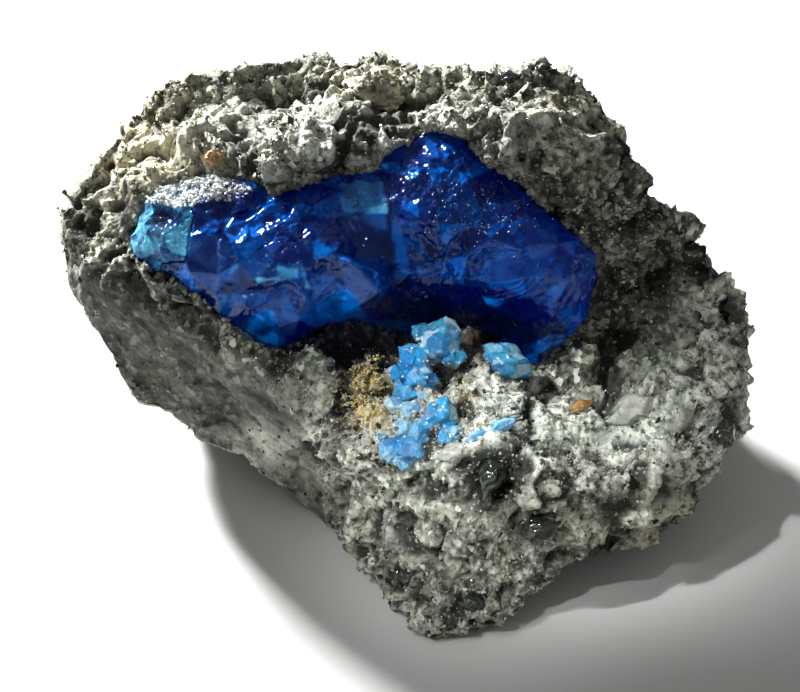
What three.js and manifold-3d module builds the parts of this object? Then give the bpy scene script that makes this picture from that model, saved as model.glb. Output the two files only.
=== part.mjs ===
// Hauyne specimen: a deep blue broken crystal in its block of grey volcanic rock, with paler
// blue crystals on the ledge below it and grains of sanidine, augite and titanite in the rock.
// Millimetres, +Z up, the block standing on the flat break under it.
//
// The block is described on its show face, the broken side that the crystal looks out of:
// x runs right across the face, y runs up it, and z comes out of it. The last lines lean the
// face back and set the block down.

import * as THREE from "three";
import { ConvexGeometry } from "three/addons/geometries/ConvexGeometry.js";
import { mergeVertices } from "three/addons/utils/BufferGeometryUtils.js";
import Module from "manifold-3d";

const wasm = await Module();
wasm.setup();

// Driving dimensions, in mm
const FACE_PITCH = THREE.MathUtils.degToRad(48); // the show face's slope, from the ground
const GROUND = -5.45; // the ground's height, from the middle of the show face
const SHIFT = [-0.03, -1.5]; // from the middle of the show face to the middle of the box
const FACE_CENTRE = [0.1, 0.25]; // where the skyline's rays start
const EDGE_HALF = 0.35; // half the thickness of the worn edge round the show face
const SEAT_GAP = 0.1; // clearance round a crystal in its seat
const SOFTENING = 0.5; // how far a modelled point's bend spreads
const CELLS = { across: 38, up: 34, edge: 2 }; // the rock's facets, over the box it is drawn on

// The fresh breaks: tilted flats about FLAT_SIZE wide, and lumps about LUMP_SIZE across
const FLAT_SIZE = 2.1;
const FLAT_TILT = 0.48;
const LUMP_SIZE = 1.3;
const LUMP_HEIGHT = 0.42;
const FLANK_CALM = 0.4; // the share of the lumps left on the smooth left flank
const EDGE_CALM = 0.25; // the share left at the skyline, whose points hold its own bumps

// The skyline, where the front turns out of sight: [x, y, z] round the face, clockwise
const SKYLINE = [
  [-8.8, 2.7, -3.3], [-8.7, 3.3, -3.4], [-8.45, 3.6, -3.4], [-8.05, 4.2, -3.3],
  [-7.6, 4.8, -3.4], [-7.05, 5.5, -3.6], [-6.5, 6.1, -3.8], [-6.0, 6.65, -3.9],
  [-5.1, 6.8, -3.8], [-4.1, 7.0, -3.7], [-2.9, 7.2, -3.5], [-1.75, 7.1, -3.4],
  [-0.9, 7.2, -3.3], [-0.3, 7.3, -3.1], [0.1, 7.05, -2.9], [0.6, 6.6, -2.2],
  [1.1, 6.8, -1.9], [1.9, 6.75, -1.8], [2.6, 6.85, -1.6], [3.05, 6.75, -1.4],
  [3.6, 7.1, -1.3], [4.0, 6.8, -1.2], [4.5, 6.55, -1.2], [4.9, 6.0, -1.1],
  [5.3, 5.4, -1.0], [5.75, 5.0, -1.0], [5.95, 4.4, -0.9], [6.3, 3.9, -0.9],
  [6.2, 3.55, -0.9], [6.8, 3.2, -1.0], [7.3, 2.95, -1.1], [7.5, 2.3, -1.1],
  [8.05, 1.6, -1.0], [8.45, 1.0, -1.0], [8.8, 0.4, -1.1], [8.75, -0.5, -1.3],
  [8.65, -1.3, -1.5], [8.7, -1.95, -1.5], [8.5, -2.6, -1.4], [8.05, -3.2, -1.3],
  [7.4, -3.75, -1.2], [6.8, -4.7, -1.1], [6.25, -5.0, -0.9], [5.1, -5.1, -0.3],
  [4.1, -5.55, -0.1], [3.0, -6.4, 0.0], [2.0, -7.15, 0.1], [0.8, -7.5, 0.2],
  [0.2, -6.8, -0.3], [-0.6, -5.8, -0.9], [-1.4, -5.1, -1.9], [-2.05, -4.45, -2.4],
  [-2.9, -3.8, -2.5], [-4.0, -2.9, -2.7], [-5.0, -2.55, -3.1], [-5.9, -1.8, -3.2],
  [-6.75, -1.55, -3.5], [-7.4, -0.45, -3.4], [-7.8, 0.3, -3.3], [-8.45, 1.3, -3.3],
];

// Points that the front passes through: [x, y, z]
const FRONT = {
  topOfBlock: [
    [-3.75, 4.1, -0.2], [-3.75, 5.5, -1.7], [-3.75, 6.5, -2.9], [-5.5, 6.0, -2.9],
    [-6.25, 4.75, -2.1], [-5.0, 4.75, -1.2], [-5.25, 3.95, -0.6], [-7.5, 4.0, -2.6],
    [-2.25, 5.75, -1.5], [-2.25, 4.5, -0.1], [-1.25, 4.75, -0.3], [-0.5, 6.0, -1.6],
    [-0.5, 6.75, -2.6], [1.0, 5.75, -0.7], [0.0, 5.15, -0.5], [2.0, 6.0, -0.6],
    [3.5, 6.5, -0.8], [3.5, 5.25, 0.1], [2.5, 4.5, 0.1], [4.75, 5.25, -0.3],
    [4.0, 3.75, 0.3], [5.0, 4.25, 0.0],
  ],
  leftRim: [
    [-6.75, 3.5, -1.3], [-7.25, 2.75, -1.4], [-8.2, 2.25, -2.5], [-7.25, 1.95, -1.1],
    [-7.9, 1.25, -2.2],
  ],
  flank: [
    [-6.6, 1.9, -0.6], [-5.0, 0.7, 0.1], [-3.25, -0.4, 0.5], [-2.25, -1.1, 0.7],
    [-6.25, 0.0, -1.9], [-7.1, 0.0, -2.6], [-5.0, -1.5, -2.1], [-5.0, -0.25, -1.1],
    [-3.75, -1.5, -1.2], [-6.0, -1.25, -2.7], [-3.5, -2.5, -1.9], [-2.25, -2.5, -0.7],
    [-2.5, -3.5, -2.0], [-1.75, -3.5, -1.1], [-1.6, -4.5, -1.9],
  ],
  foot: [
    [-1.25, -3.0, 0.4], [-0.75, -4.25, 0.2], [-0.4, -5.5, -0.2], [0.0, -3.5, 1.2],
    [0.5, -5.0, 0.9], [0.75, -6.5, 0.5], [1.75, -5.5, 1.1], [2.0, -6.5, 0.6],
    [3.0, -5.9, 0.6],
  ],
  nose: [
    [1.0, -2.75, 1.9], [2.25, -2.3, 2.2], [3.25, -3.1, 2.3], [2.5, -4.0, 2.4],
    [1.25, -4.0, 1.8], [3.5, -4.5, 2.1], [2.5, -5.1, 1.6],
  ],
  underShelf: [
    [4.0, -3.9, 2.1], [5.0, -3.5, 1.9], [6.25, -3.2, 1.4], [7.5, -2.9, 0.5],
    [5.0, -4.6, 0.9], [6.25, -4.5, 0.2], [7.25, -3.6, -0.2],
  ],
  shelf: [
    [4.25, -3.1, 1.9], [5.5, -2.75, 1.3], [5.0, -2.0, 0.6], [6.25, -2.1, 0.7],
    [7.5, -2.25, 0.4], [4.25, -1.25, -0.1], [5.5, -1.1, -0.5], [6.5, -1.25, -0.2],
    [7.5, -1.1, -0.3], [3.25, -2.25, 1.2],
  ],
  rightHollow: [
    [5.5, -0.5, -1.5], [6.5, -0.25, -1.7], [5.0, 0.5, -1.6], [5.75, 1.25, -1.6],
    [6.75, 1.0, -1.7], [6.25, 2.25, -1.2], [5.25, 2.5, -0.8], [6.0, 3.1, -0.6],
    [4.5, 3.25, 0.2],
  ],
  rightRim: [[7.5, 1.75, -1.0], [7.75, 0.75, -0.6], [8.2, 0.0, -0.7], [8.0, -1.25, -0.5]],
  crystalSeat: [
    [-6.0, 2.75, -1.8], [-4.25, 2.25, -1.6], [-2.5, 1.75, -1.6], [-0.5, 2.5, -1.8],
    [1.0, 3.75, -1.4], [2.5, 2.5, -1.6], [4.0, 1.5, -1.5], [0.5, 1.0, -2.2],
    [-1.5, -0.1, -2.0], [0.0, 0.1, -2.2], [-2.5, -0.25, -1.3], [2.5, 0.25, -1.5],
  ],
  ledge: [
    [-1.75, -0.75, -0.6], [-1.0, -0.4, -0.6], [-0.9, -1.25, 0.5], [-1.5, -2.0, 0.6],
    [-0.5, -2.6, 1.2], [0.5, -2.5, 1.5], [1.0, -1.5, 1.0], [2.0, -1.1, 0.9],
    [2.75, -1.5, 1.3], [1.75, -0.1, -0.4], [1.0, -0.5, 0.0], [3.0, -0.75, 0.1],
  ],
};

// Points that the back and the underside pass through
const BACK = [
  [-1.0, 6.55, -4.3], [-6.0, 4.95, -5.5], [-7.8, 2.75, -5.3], [-1.0, 4.6, -6.6],
  [-1.0, 0.8, -9.1], [4.0, 0.15, -8.4], [6.5, 2.35, -4.9], [4.5, 6.2, -2.9],
  [7.2, -2.05, -5.2], [-5.5, -1.2, -7.0], [-7.2, -0.2, -4.9], [0.0, -3.2, -5.4],
  [-1.8, -4.75, -3.2], [4.0, -5.0, -2.7], [-5.0, 0.7, -8.6], [6.3, -0.85, -7.0],
  [4.0, -2.2, -6.4], [0.0, -0.8, -7.9],
];

// The broken blocks that the blue crystal shows: the corners of each, [x, y, z]
const HAUYNE_BLOCKS = {
  paleEnd: [
    [-6.8, 2.75, -1.0], [-6.4, 3.5, -0.9], [-5.3, 3.6, -0.1], [-5.15, 2.5, 0.4],
    [-5.3, 1.95, 0.2], [-6.0, 1.7, -0.2], [-6.6, 2.1, -0.6], [-6.1, 2.6, -0.05],
    [-6.5, 3.1, -2.2], [-5.2, 3.4, -2.2], [-5.1, 1.9, -2.2], [-6.25, 2.1, -2.2],
  ],
  leftBlock: [
    [-5.4, 3.75, -0.5], [-3.45, 3.9, -0.4], [-2.0, 3.6, -0.2], [-2.15, 2.7, 0.9],
    [-3.9, 2.4, 0.75], [-5.2, 2.55, 0.4], [-5.1, 1.25, -0.2], [-4.3, 1.0, 0.2],
    [-2.3, 1.2, 0.9], [-4.0, 1.4, 0.65], [-5.3, 3.5, -2.5], [-2.1, 3.5, -2.6],
    [-2.0, 1.2, -2.6], [-4.9, 1.3, -2.4],
  ],
  lowerChip: [
    [-4.7, 1.3, -0.1], [-2.4, 1.5, 0.8], [-2.0, 1.0, 0.7], [-2.4, 0.1, 0.0],
    [-3.2, -0.4, -0.1], [-4.0, 0.1, -0.1], [-3.45, 1.0, 0.6], [-4.4, 0.9, -2.0],
    [-2.3, 1.0, -2.4], [-2.7, 0.2, -2.0], [-3.7, 0.2, -1.8],
  ],
  ridgeBlock: [
    [-2.4, 2.75, 0.9], [-1.5, 1.95, 1.2], [-0.4, 1.25, 1.1], [-0.7, 0.6, 0.6],
    [-2.0, 0.25, 0.2], [-2.5, 0.8, 0.5], [-1.6, 3.4, -0.1], [0.1, 2.9, 0.1],
    [0.1, 1.3, 0.3], [-2.2, 2.5, -2.7], [-0.2, 2.7, -2.8], [-0.2, 1.0, -2.8],
    [-2.0, 0.7, -2.5],
  ],
  upperMiddle: [
    [-2.2, 3.75, -0.5], [-0.3, 4.1, -0.3], [-0.2, 3.25, 0.3], [-0.2, 2.7, 0.2],
    [-1.5, 2.9, 0.15], [-2.2, 3.0, 0.2], [-2.0, 3.6, -2.4], [-0.4, 3.8, -2.4],
    [-0.3, 2.8, -2.6], [-1.7, 2.9, -2.6],
  ],
  pyramid: [
    [1.2, 5.2, -0.6], [-0.3, 4.5, -0.4], [-0.5, 3.75, -0.1], [-0.3, 2.7, 0.3],
    [0.75, 2.75, 0.7], [2.5, 2.75, 0.8], [4.0, 3.0, 0.1], [3.0, 3.95, 0.1],
    [1.95, 4.6, 0.0], [1.0, 4.1, 0.4], [1.9, 3.9, 0.5], [1.2, 4.8, -2.4],
    [-0.2, 3.8, -2.6], [0.0, 2.9, -2.8], [3.7, 3.0, -2.6], [2.4, 4.0, -2.5],
  ],
  rightBlock: [
    [0.75, 3.0, 0.75], [2.5, 3.05, 0.9], [4.0, 3.05, 0.2], [4.8, 2.25, -0.1],
    [4.9, 1.4, -0.1], [4.4, 0.4, -0.2], [3.5, -0.1, -0.3], [1.75, 0.1, -0.6],
    [0.0, 0.4, -0.9], [-0.3, 1.25, -0.1], [-0.25, 2.8, 0.4], [1.75, 1.6, 0.9],
    [3.5, 2.0, 0.8], [0.1, 2.6, -2.8], [4.5, 2.2, -2.4], [4.4, 0.8, -2.4],
    [0.3, 0.8, -2.8],
  ],
  lowerTip: [
    [2.9, -0.1, -0.4], [4.0, 0.05, -0.1], [4.4, 0.5, -0.2], [3.25, -0.6, -0.6],
    [3.8, -0.35, -0.25], [3.1, 0.3, -2.2], [4.2, 0.5, -2.2], [3.6, -0.3, -2.0],
  ],
};

// Smaller crystals: centre, half sizes along x, y and z, and a turn about each axis in degrees
const PALE_CLUSTER = [
  { at: [0.95, -0.2, 0.3], half: [0.7, 0.8, 0.7], turn: [10, 20, 15] },
  { at: [0.25, -0.85, 0.65], half: [0.65, 0.75, 0.65], turn: [-15, 10, 25] },
  { at: [0.05, -1.55, 1.0], half: [0.5, 0.6, 0.55], turn: [20, -10, 5] },
  { at: [0.8, -1.95, 1.4], half: [0.68, 0.65, 0.6], turn: [-20, 15, 20] },
  { at: [0.0, -2.55, 1.3], half: [0.65, 0.6, 0.55], turn: [15, 5, -20] },
];
const LONE_CRYSTALS = {
  pale_hauyne_grain: { at: [2.65, -0.5, 0.45], half: [0.68, 0.42, 0.5], turn: [5, 15, -32] },
  pale_hauyne_flake: { at: [2.3, -2.2, 2.05], half: [0.5, 0.17, 0.3], turn: [0, 0, 22] },
  sanidine_nodule: { at: [-2.9, 4.5, -0.4], half: [0.95, 0.75, 0.6], turn: [20, 0, -20] },
  sanidine_on_shelf: { at: [5.8, -1.75, 0.25], half: [0.62, 0.42, 0.5], turn: [0, 0, 18] },
  sanidine_at_back: { at: [-0.55, 6.35, -2.1], half: [0.9, 0.7, 0.6], turn: [-35, 0, 10] },
  sanidine_on_nose: { at: [1.2, -2.72, 1.85], half: [0.6, 0.22, 0.35], turn: [0, 10, 15] },
  augite_in_nose: { at: [2.25, -3.25, 2.05], half: [0.4, 0.68, 0.45], turn: [0, 0, -15] },
  augite_under_nose: { at: [3.45, -4.55, 1.85], half: [0.62, 0.4, 0.4], turn: [0, 0, 25] },
  augite_at_foot: { at: [1.8, -6.5, 0.55], half: [0.36, 0.26, 0.3], turn: [0, 20, 10] },
  augite_on_top: { at: [2.75, 6.65, -1.1], half: [0.3, 0.2, 0.25], turn: [15, 0, 0] },
  augite_at_right: { at: [8.15, -2.35, -0.4], half: [0.32, 0.38, 0.35], turn: [0, 30, 0] },
  titanite_on_left: { at: [-4.7, 4.55, -0.9], half: [0.26, 0.3, 0.25], turn: [30, 0, 20] },
  titanite_on_shelf: { at: [4.5, -1.65, 0.3], half: [0.36, 0.18, 0.25], turn: [0, 0, 20] },
};

// Finishes
const FINISH = {
  rock: new THREE.MeshStandardMaterial({ color: 0x77786e, roughness: 0.85, metalness: 0 }),
  deepBlue: new THREE.MeshStandardMaterial({ color: 0x0a2a9c, roughness: 0.12, metalness: 0 }),
  paleBlue: new THREE.MeshStandardMaterial({ color: 0x3f9bd6, roughness: 0.25, metalness: 0 }),
  clearGrey: new THREE.MeshStandardMaterial({ color: 0xb9bab0, roughness: 0.3, metalness: 0 }),
  black: new THREE.MeshStandardMaterial({ color: 0x15190f, roughness: 0.25, metalness: 0 }),
  amber: new THREE.MeshStandardMaterial({ color: 0x7a4a12, roughness: 0.3, metalness: 0 }),
};
const FINISH_OF = { pale: "paleBlue", sanidine: "clearGrey", augite: "black", titanite: "amber" };

// Noise on a grid of cells, the same on every machine

// A fixed number from 0 to 1 for each cell of space and each salt.
function cellNumber(i, j, k, salt) {
  let h = Math.imul(i, 73856093) ^ Math.imul(j, 19349663) ^ Math.imul(k, 83492791);
  h = Math.imul(h ^ Math.imul(salt, 40503) ^ (h >>> 13), 1274126177);
  return ((h ^ (h >>> 16)) >>> 0) / 4294967296;
}

// Smooth lumps from -1 to 1 that are size across: eight cell numbers blended.
function lumps(p, size, salt) {
  const q = p.map((v) => v / size);
  const base = q.map(Math.floor);
  const t = q.map((v, n) => v - base[n]).map((v) => v * v * (3 - 2 * v));
  let sum = 0;
  for (let corner = 0; corner < 8; corner++) {
    const step = [corner & 1, (corner >> 1) & 1, corner >> 2];
    const share = step.reduce((s, on, n) => s * (on ? t[n] : 1 - t[n]), 1);
    sum += share * cellNumber(...base.map((v, n) => v + step[n]), salt);
  }
  return 2 * sum - 1;
}

// Tilted flats: each point takes the height of its nearest seed's own sloping plane.
function flats(p, size, salt) {
  const base = p.map((v) => Math.floor(v / size));
  let nearest = Infinity;
  let height = 0;
  for (let n = 0; n < 27; n++) {
    const cell = [base[0] + (n % 3) - 1, base[1] + (Math.floor(n / 3) % 3) - 1,
      base[2] + Math.floor(n / 9) - 1];
    const away = cell.map((c, m) => p[m] / size - c - cellNumber(...cell, salt + m));
    const distance = away.reduce((s, v) => s + v * v, 0);
    if (distance < nearest) {
      nearest = distance;
      height = away.reduce((s, v, m) => s + v * (2 * cellNumber(...cell, salt + 3 + m) - 1), 0);
    }
  }
  return height;
}

// Broad form of the rock

// A smooth sheet z(x, y) through points: a sum of softened cones, one at each point.
function sheetThrough(points) {
  const reach = (dx, dy) => Math.sqrt(dx * dx + dy * dy + SOFTENING * SOFTENING);
  const n = points.length;
  const rows = points.map((p) => [...points.map((q) => reach(p[0] - q[0], p[1] - q[1])), p[2]]);
  for (let c = 0; c < n; c++) {
    let best = c;
    for (let r = c + 1; r < n; r++) if (Math.abs(rows[r][c]) > Math.abs(rows[best][c])) best = r;
    [rows[c], rows[best]] = [rows[best], rows[c]];
    for (let r = c + 1; r < n; r++) {
      const share = rows[r][c] / rows[c][c];
      for (let m = c; m <= n; m++) rows[r][m] -= share * rows[c][m];
    }
  }
  const weights = new Array(n);
  for (let r = n - 1; r >= 0; r--) {
    let left = rows[r][n];
    for (let m = r + 1; m < n; m++) left -= rows[r][m] * weights[m];
    weights[r] = left / rows[r][r];
  }
  return (x, y) =>
    points.reduce((sum, p, m) => sum + weights[m] * reach(x - p[0], y - p[1]), 0);
}

const skylineBy = (dz) => SKYLINE.map(([x, y, z]) => [x, y, z + dz]);
const frontSheet = sheetThrough([...Object.values(FRONT).flat(), ...skylineBy(EDGE_HALF)]);
const backSheet = sheetThrough([...BACK, ...skylineBy(-EDGE_HALF)]);

// The skyline as distances from the face's centre, sorted by the angle of their rays.
const RAYS = SKYLINE.map(([x, y, z]) => {
  const [dx, dy] = [x - FACE_CENTRE[0], y - FACE_CENTRE[1]];
  return { angle: Math.atan2(dy, dx), reach: Math.hypot(dx, dy), z };
}).sort((a, b) => a.angle - b.angle);

// The skyline's distance and depth on any ray, straight between its points.
function skylineAt(angle) {
  const after = RAYS.findIndex((r) => r.angle > angle);
  const b = after < 0 ? RAYS[0] : RAYS[after];
  const a = after <= 0 ? RAYS[RAYS.length - 1] : RAYS[after - 1];
  const turn = (v) => (v + 2 * Math.PI) % (2 * Math.PI);
  const t = turn(angle - a.angle) / turn(b.angle - a.angle);
  return { reach: a.reach + t * (b.reach - a.reach), z: a.z + t * (b.z - a.z) };
}

// How far a point lies inside the flank, left of the foot and below the lip of the seat.
function flankDepth(x, y) {
  const belowLip = -0.517 * (x + 2.2) - 0.856 * (y + 1.2);
  const leftOfFoot = -0.971 * (x + 2.2) - 0.237 * (y + 1.2);
  return Math.min(belowLip, leftOfFoot);
}

// A point of a unit box's surface carried to the rock: its front and back sides become the
// sheets, its rim the edge between them. The square side maps to a disc, then to the skyline.
function broadForm(a, b, c) {
  const [dx, dy] = [a * Math.sqrt(1 - (b * b) / 2), b * Math.sqrt(1 - (a * a) / 2)];
  const sky = skylineAt(Math.atan2(dy, dx));
  const x = FACE_CENTRE[0] + dx * sky.reach;
  const y = FACE_CENTRE[1] + dy * sky.reach;
  const onRim = Math.max(Math.abs(a), Math.abs(b)) > 1 - 1e-9;
  const side = c > 0 ? frontSheet(x, y) : backSheet(x, y);
  return [x, y, onRim ? sky.z + c * EDGE_HALF : side];
}

// A box's surface as cells: its points from -1 to 1, and its quads facing out.
function boxCells({ across, up, edge }) {
  const counts = [across, up, edge];
  const index = new Map();
  const points = [];
  const pointAt = (steps) => {
    const key = steps.join();
    if (!index.has(key)) {
      index.set(key, points.length);
      points.push(steps.map((s, n) => (2 * s) / counts[n] - 1));
    }
    return index.get(key);
  };
  const quads = [];
  for (let axis = 0; axis < 3; axis++) {
    const [u, v] = [(axis + 1) % 3, (axis + 2) % 3];
    for (const end of [0, counts[axis]]) {
      for (let i = 0; i < counts[u]; i++) {
        for (let j = 0; j < counts[v]; j++) {
          const ring = [[0, 0], [1, 0], [1, 1], [0, 1]].map(([di, dj]) => {
            const steps = [0, 0, 0];
            [steps[axis], steps[u], steps[v]] = [end, i + di, j + dj];
            return pointAt(steps);
          });
          quads.push(end ? ring : ring.reverse());
        }
      }
    }
  }
  return { points, quads };
}

// The rock before its seats are cut: the broad form, pushed out and in by flats and lumps.
function rockGeometry() {
  const { points, quads } = boxCells(CELLS);
  const geometry = new THREE.BufferGeometry();
  const places = points.flatMap(([a, b, c]) => broadForm(a, b, c));
  const inFromEdge = points.map(([a, b]) => 1 - Math.max(Math.abs(a), Math.abs(b)));
  geometry.setAttribute("position", new THREE.Float32BufferAttribute(places, 3));
  geometry.setIndex(quads.flatMap(([p, q, r, s]) => [p, q, r, p, r, s]));
  geometry.computeVertexNormals();
  const { position, normal } = geometry.attributes;
  for (let n = 0; n < position.count; n++) {
    const p = [position.getX(n), position.getY(n), position.getZ(n)];
    const onFlank = THREE.MathUtils.smoothstep(flankDepth(p[0], p[1]), 0, 0.8);
    const nearEdge = 1 - THREE.MathUtils.smoothstep(inFromEdge[n], 0, 0.25);
    const share = (1 - onFlank * (1 - FLANK_CALM)) * (1 - nearEdge * (1 - EDGE_CALM));
    const out = share * (FLAT_TILT * flats(p, FLAT_SIZE, 11) + LUMP_HEIGHT * lumps(p, LUMP_SIZE, 5));
    position.setXYZ(
      n,
      p[0] + out * normal.getX(n),
      p[1] + out * normal.getY(n),
      p[2] + out * normal.getZ(n),
    );
  }
  return geometry;
}

// Crystals

// A geometry as a solid that can be joined and cut.
function solidOf(geometry) {
  const bare = geometry.clone();
  bare.deleteAttribute("normal");
  bare.deleteAttribute("uv");
  const merged = mergeVertices(bare, 1e-4);
  return new wasm.Manifold(
    new wasm.Mesh({
      numProp: 3,
      vertProperties: merged.attributes.position.array,
      triVerts: new Uint32Array(merged.index.array),
    }),
  );
}

// A solid back as a geometry.
function geometryOf(solid) {
  const mesh = solid.getMesh();
  const geometry = new THREE.BufferGeometry();
  geometry.setAttribute("position", new THREE.BufferAttribute(mesh.vertProperties, 3));
  geometry.setIndex(new THREE.BufferAttribute(mesh.triVerts, 1));
  geometry.computeVertexNormals();
  return geometry;
}

// A block with flat faces round its corners, grown on every side by a margin.
function block(corners, margin = 0) {
  const grown = corners.flatMap(([x, y, z]) =>
    (margin ? [-1, 1] : [0]).flatMap((sx) =>
      (margin ? [-1, 1] : [0]).flatMap((sy) =>
        (margin ? [-1, 1] : [0]).map(
          (sz) => new THREE.Vector3(x + sx * margin, y + sy * margin, z + sz * margin),
        ),
      ),
    ),
  );
  return solidOf(new ConvexGeometry(grown));
}

// The corners of a rhombic dodecahedron, hauyne's own form, fitted to half sizes and turned.
function dodecahedronCorners({ at, half, turn }) {
  const corners = [];
  for (const x of [-1, 1]) for (const y of [-1, 1]) for (const z of [-1, 1]) {
    corners.push([x / 2, y / 2, z / 2]);
  }
  for (const s of [-1, 1]) corners.push([s, 0, 0], [0, s, 0], [0, 0, s]);
  const angles = turn.map((v) => THREE.MathUtils.degToRad(v));
  return corners.map((c) =>
    new THREE.Vector3(...c)
      .multiply(new THREE.Vector3(...half))
      .applyEuler(new THREE.Euler(...angles))
      .add(new THREE.Vector3(...at))
      .toArray(),
  );
}

const joined = (cornerLists, margin) =>
  cornerLists.map((corners) => block(corners, margin)).reduce((a, b) => a.add(b));

// The show face with everything in it

const showFace = new THREE.Group();
showFace.rotation.x = FACE_PITCH;

function place(name, solid, finish) {
  const mesh = new THREE.Mesh(geometryOf(solid), FINISH[finish]);
  mesh.name = name;
  showFace.add(mesh);
}

const crystals = {
  hauyne_crystal: Object.values(HAUYNE_BLOCKS),
  pale_hauyne_cluster: PALE_CLUSTER.map(dodecahedronCorners),
};
for (const [name, shape] of Object.entries(LONE_CRYSTALS)) {
  crystals[name] = [dodecahedronCorners(shape)];
}

// A slab that fills everything under the ground, leaning as the ground does on the face.
function underGround() {
  const [width, depth] = [60, 40];
  const slab = new THREE.BoxGeometry(width, width, depth);
  slab.translate(0, 0, GROUND - depth / 2);
  slab.rotateX(-FACE_PITCH);
  return solidOf(slab);
}

let rock = solidOf(rockGeometry()).subtract(underGround());
for (const [name, shapes] of Object.entries(crystals)) {
  const finish = FINISH_OF[name.split("_")[0]] ?? "deepBlue";
  rock = rock.subtract(joined(shapes, SEAT_GAP));
  place(name, joined(shapes), finish);
}
place("matrix_rock", rock.decompose().sort((a, b) => b.volume() - a.volume())[0], "rock");

const specimen = new THREE.Group();
showFace.position.set(SHIFT[0], SHIFT[1], -GROUND);
specimen.add(showFace);

export default specimen;
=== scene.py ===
"""Looks of the hauyne specimen: a deep blue broken crystal in its block of grey volcanic rock.

Shapes are worked out in millimetres on the show face, the broken side that the crystal looks out
of: x runs right across it, y up it, and z out of it. Face.to_world leans the face back and sets
the block down, in metres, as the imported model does.
"""

import itertools
import logging
import math
from dataclasses import dataclass, field, replace
from enum import Enum

import bpy
import numpy as np
from mathutils import Matrix, Vector
from mathutils.geometry import delaunay_2d_cdt


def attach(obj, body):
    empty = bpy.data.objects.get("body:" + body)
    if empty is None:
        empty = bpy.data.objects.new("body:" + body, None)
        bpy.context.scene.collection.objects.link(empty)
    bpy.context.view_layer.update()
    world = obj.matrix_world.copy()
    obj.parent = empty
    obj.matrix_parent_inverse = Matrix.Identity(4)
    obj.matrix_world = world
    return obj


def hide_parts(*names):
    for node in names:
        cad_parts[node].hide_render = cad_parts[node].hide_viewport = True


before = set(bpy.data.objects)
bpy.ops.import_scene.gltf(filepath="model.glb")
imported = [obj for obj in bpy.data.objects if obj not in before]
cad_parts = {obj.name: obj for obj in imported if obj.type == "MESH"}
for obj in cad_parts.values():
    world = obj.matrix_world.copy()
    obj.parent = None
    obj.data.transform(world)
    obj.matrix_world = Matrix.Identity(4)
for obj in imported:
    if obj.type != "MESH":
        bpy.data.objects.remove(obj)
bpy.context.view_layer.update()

LOG = logging.getLogger("hauyne")
Array = np.ndarray
Place = tuple[float, float, float]
Colour = tuple[float, float, float]
Socket = bpy.types.NodeSocket

# The broad form of the rock, in mm: the same named values as the model's source
FACE_PITCH = math.radians(48)
GROUND = -5.45
SHIFT = (-0.03, -1.5)
FACE_CENTRE = (0.1, 0.25)
EDGE_HALF = 0.35
SOFTENING = 0.5
FLAT_SIZE = 2.1
FLAT_TILT = 0.48
LUMP_SIZE = 1.3
LUMP_HEIGHT = 0.42
FLANK_CALM = 0.4
EDGE_CALM = 0.25

# How far in from its edge the flank is fully worn, and how far the small crystals are raised
FLANK_WIDTH = 0.8
CRYSTAL_RISE = 0.15
# The refractive index of hauyne, and metres in half a millimetre
HAUYNE_IOR = 1.502
HALF_MM = 0.0005

# The skyline, where the front turns out of sight: x, y and z round the face, clockwise
SKYLINE = (
    (-8.8, 2.7, -3.3), (-8.7, 3.3, -3.4), (-8.45, 3.6, -3.4), (-8.05, 4.2, -3.3),
    (-7.6, 4.8, -3.4), (-7.05, 5.5, -3.6), (-6.5, 6.1, -3.8), (-6.0, 6.65, -3.9),
    (-5.1, 6.8, -3.8), (-4.1, 7.0, -3.7), (-2.9, 7.2, -3.5), (-1.75, 7.1, -3.4),
    (-0.9, 7.2, -3.3), (-0.3, 7.3, -3.1), (0.1, 7.05, -2.9), (0.6, 6.6, -2.2),
    (1.1, 6.8, -1.9), (1.9, 6.75, -1.8), (2.6, 6.85, -1.6), (3.05, 6.75, -1.4),
    (3.6, 7.1, -1.3), (4.0, 6.8, -1.2), (4.5, 6.55, -1.2), (4.9, 6.0, -1.1),
    (5.3, 5.4, -1.0), (5.75, 5.0, -1.0), (5.95, 4.4, -0.9), (6.3, 3.9, -0.9),
    (6.2, 3.55, -0.9), (6.8, 3.2, -1.0), (7.3, 2.95, -1.1), (7.5, 2.3, -1.1),
    (8.05, 1.6, -1.0), (8.45, 1.0, -1.0), (8.8, 0.4, -1.1), (8.75, -0.5, -1.3),
    (8.65, -1.3, -1.5), (8.7, -1.95, -1.5), (8.5, -2.6, -1.4), (8.05, -3.2, -1.3),
    (7.4, -3.75, -1.2), (6.8, -4.7, -1.1), (6.25, -5.0, -0.9), (5.1, -5.1, -0.3),
    (4.1, -5.55, -0.1), (3.0, -6.4, 0.0), (2.0, -7.15, 0.1), (0.8, -7.5, 0.2),
    (0.2, -6.8, -0.3), (-0.6, -5.8, -0.9), (-1.4, -5.1, -1.9), (-2.05, -4.45, -2.4),
    (-2.9, -3.8, -2.5), (-4.0, -2.9, -2.7), (-5.0, -2.55, -3.1), (-5.9, -1.8, -3.2),
    (-6.75, -1.55, -3.5), (-7.4, -0.45, -3.4), (-7.8, 0.3, -3.3), (-8.45, 1.3, -3.3),
)

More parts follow.
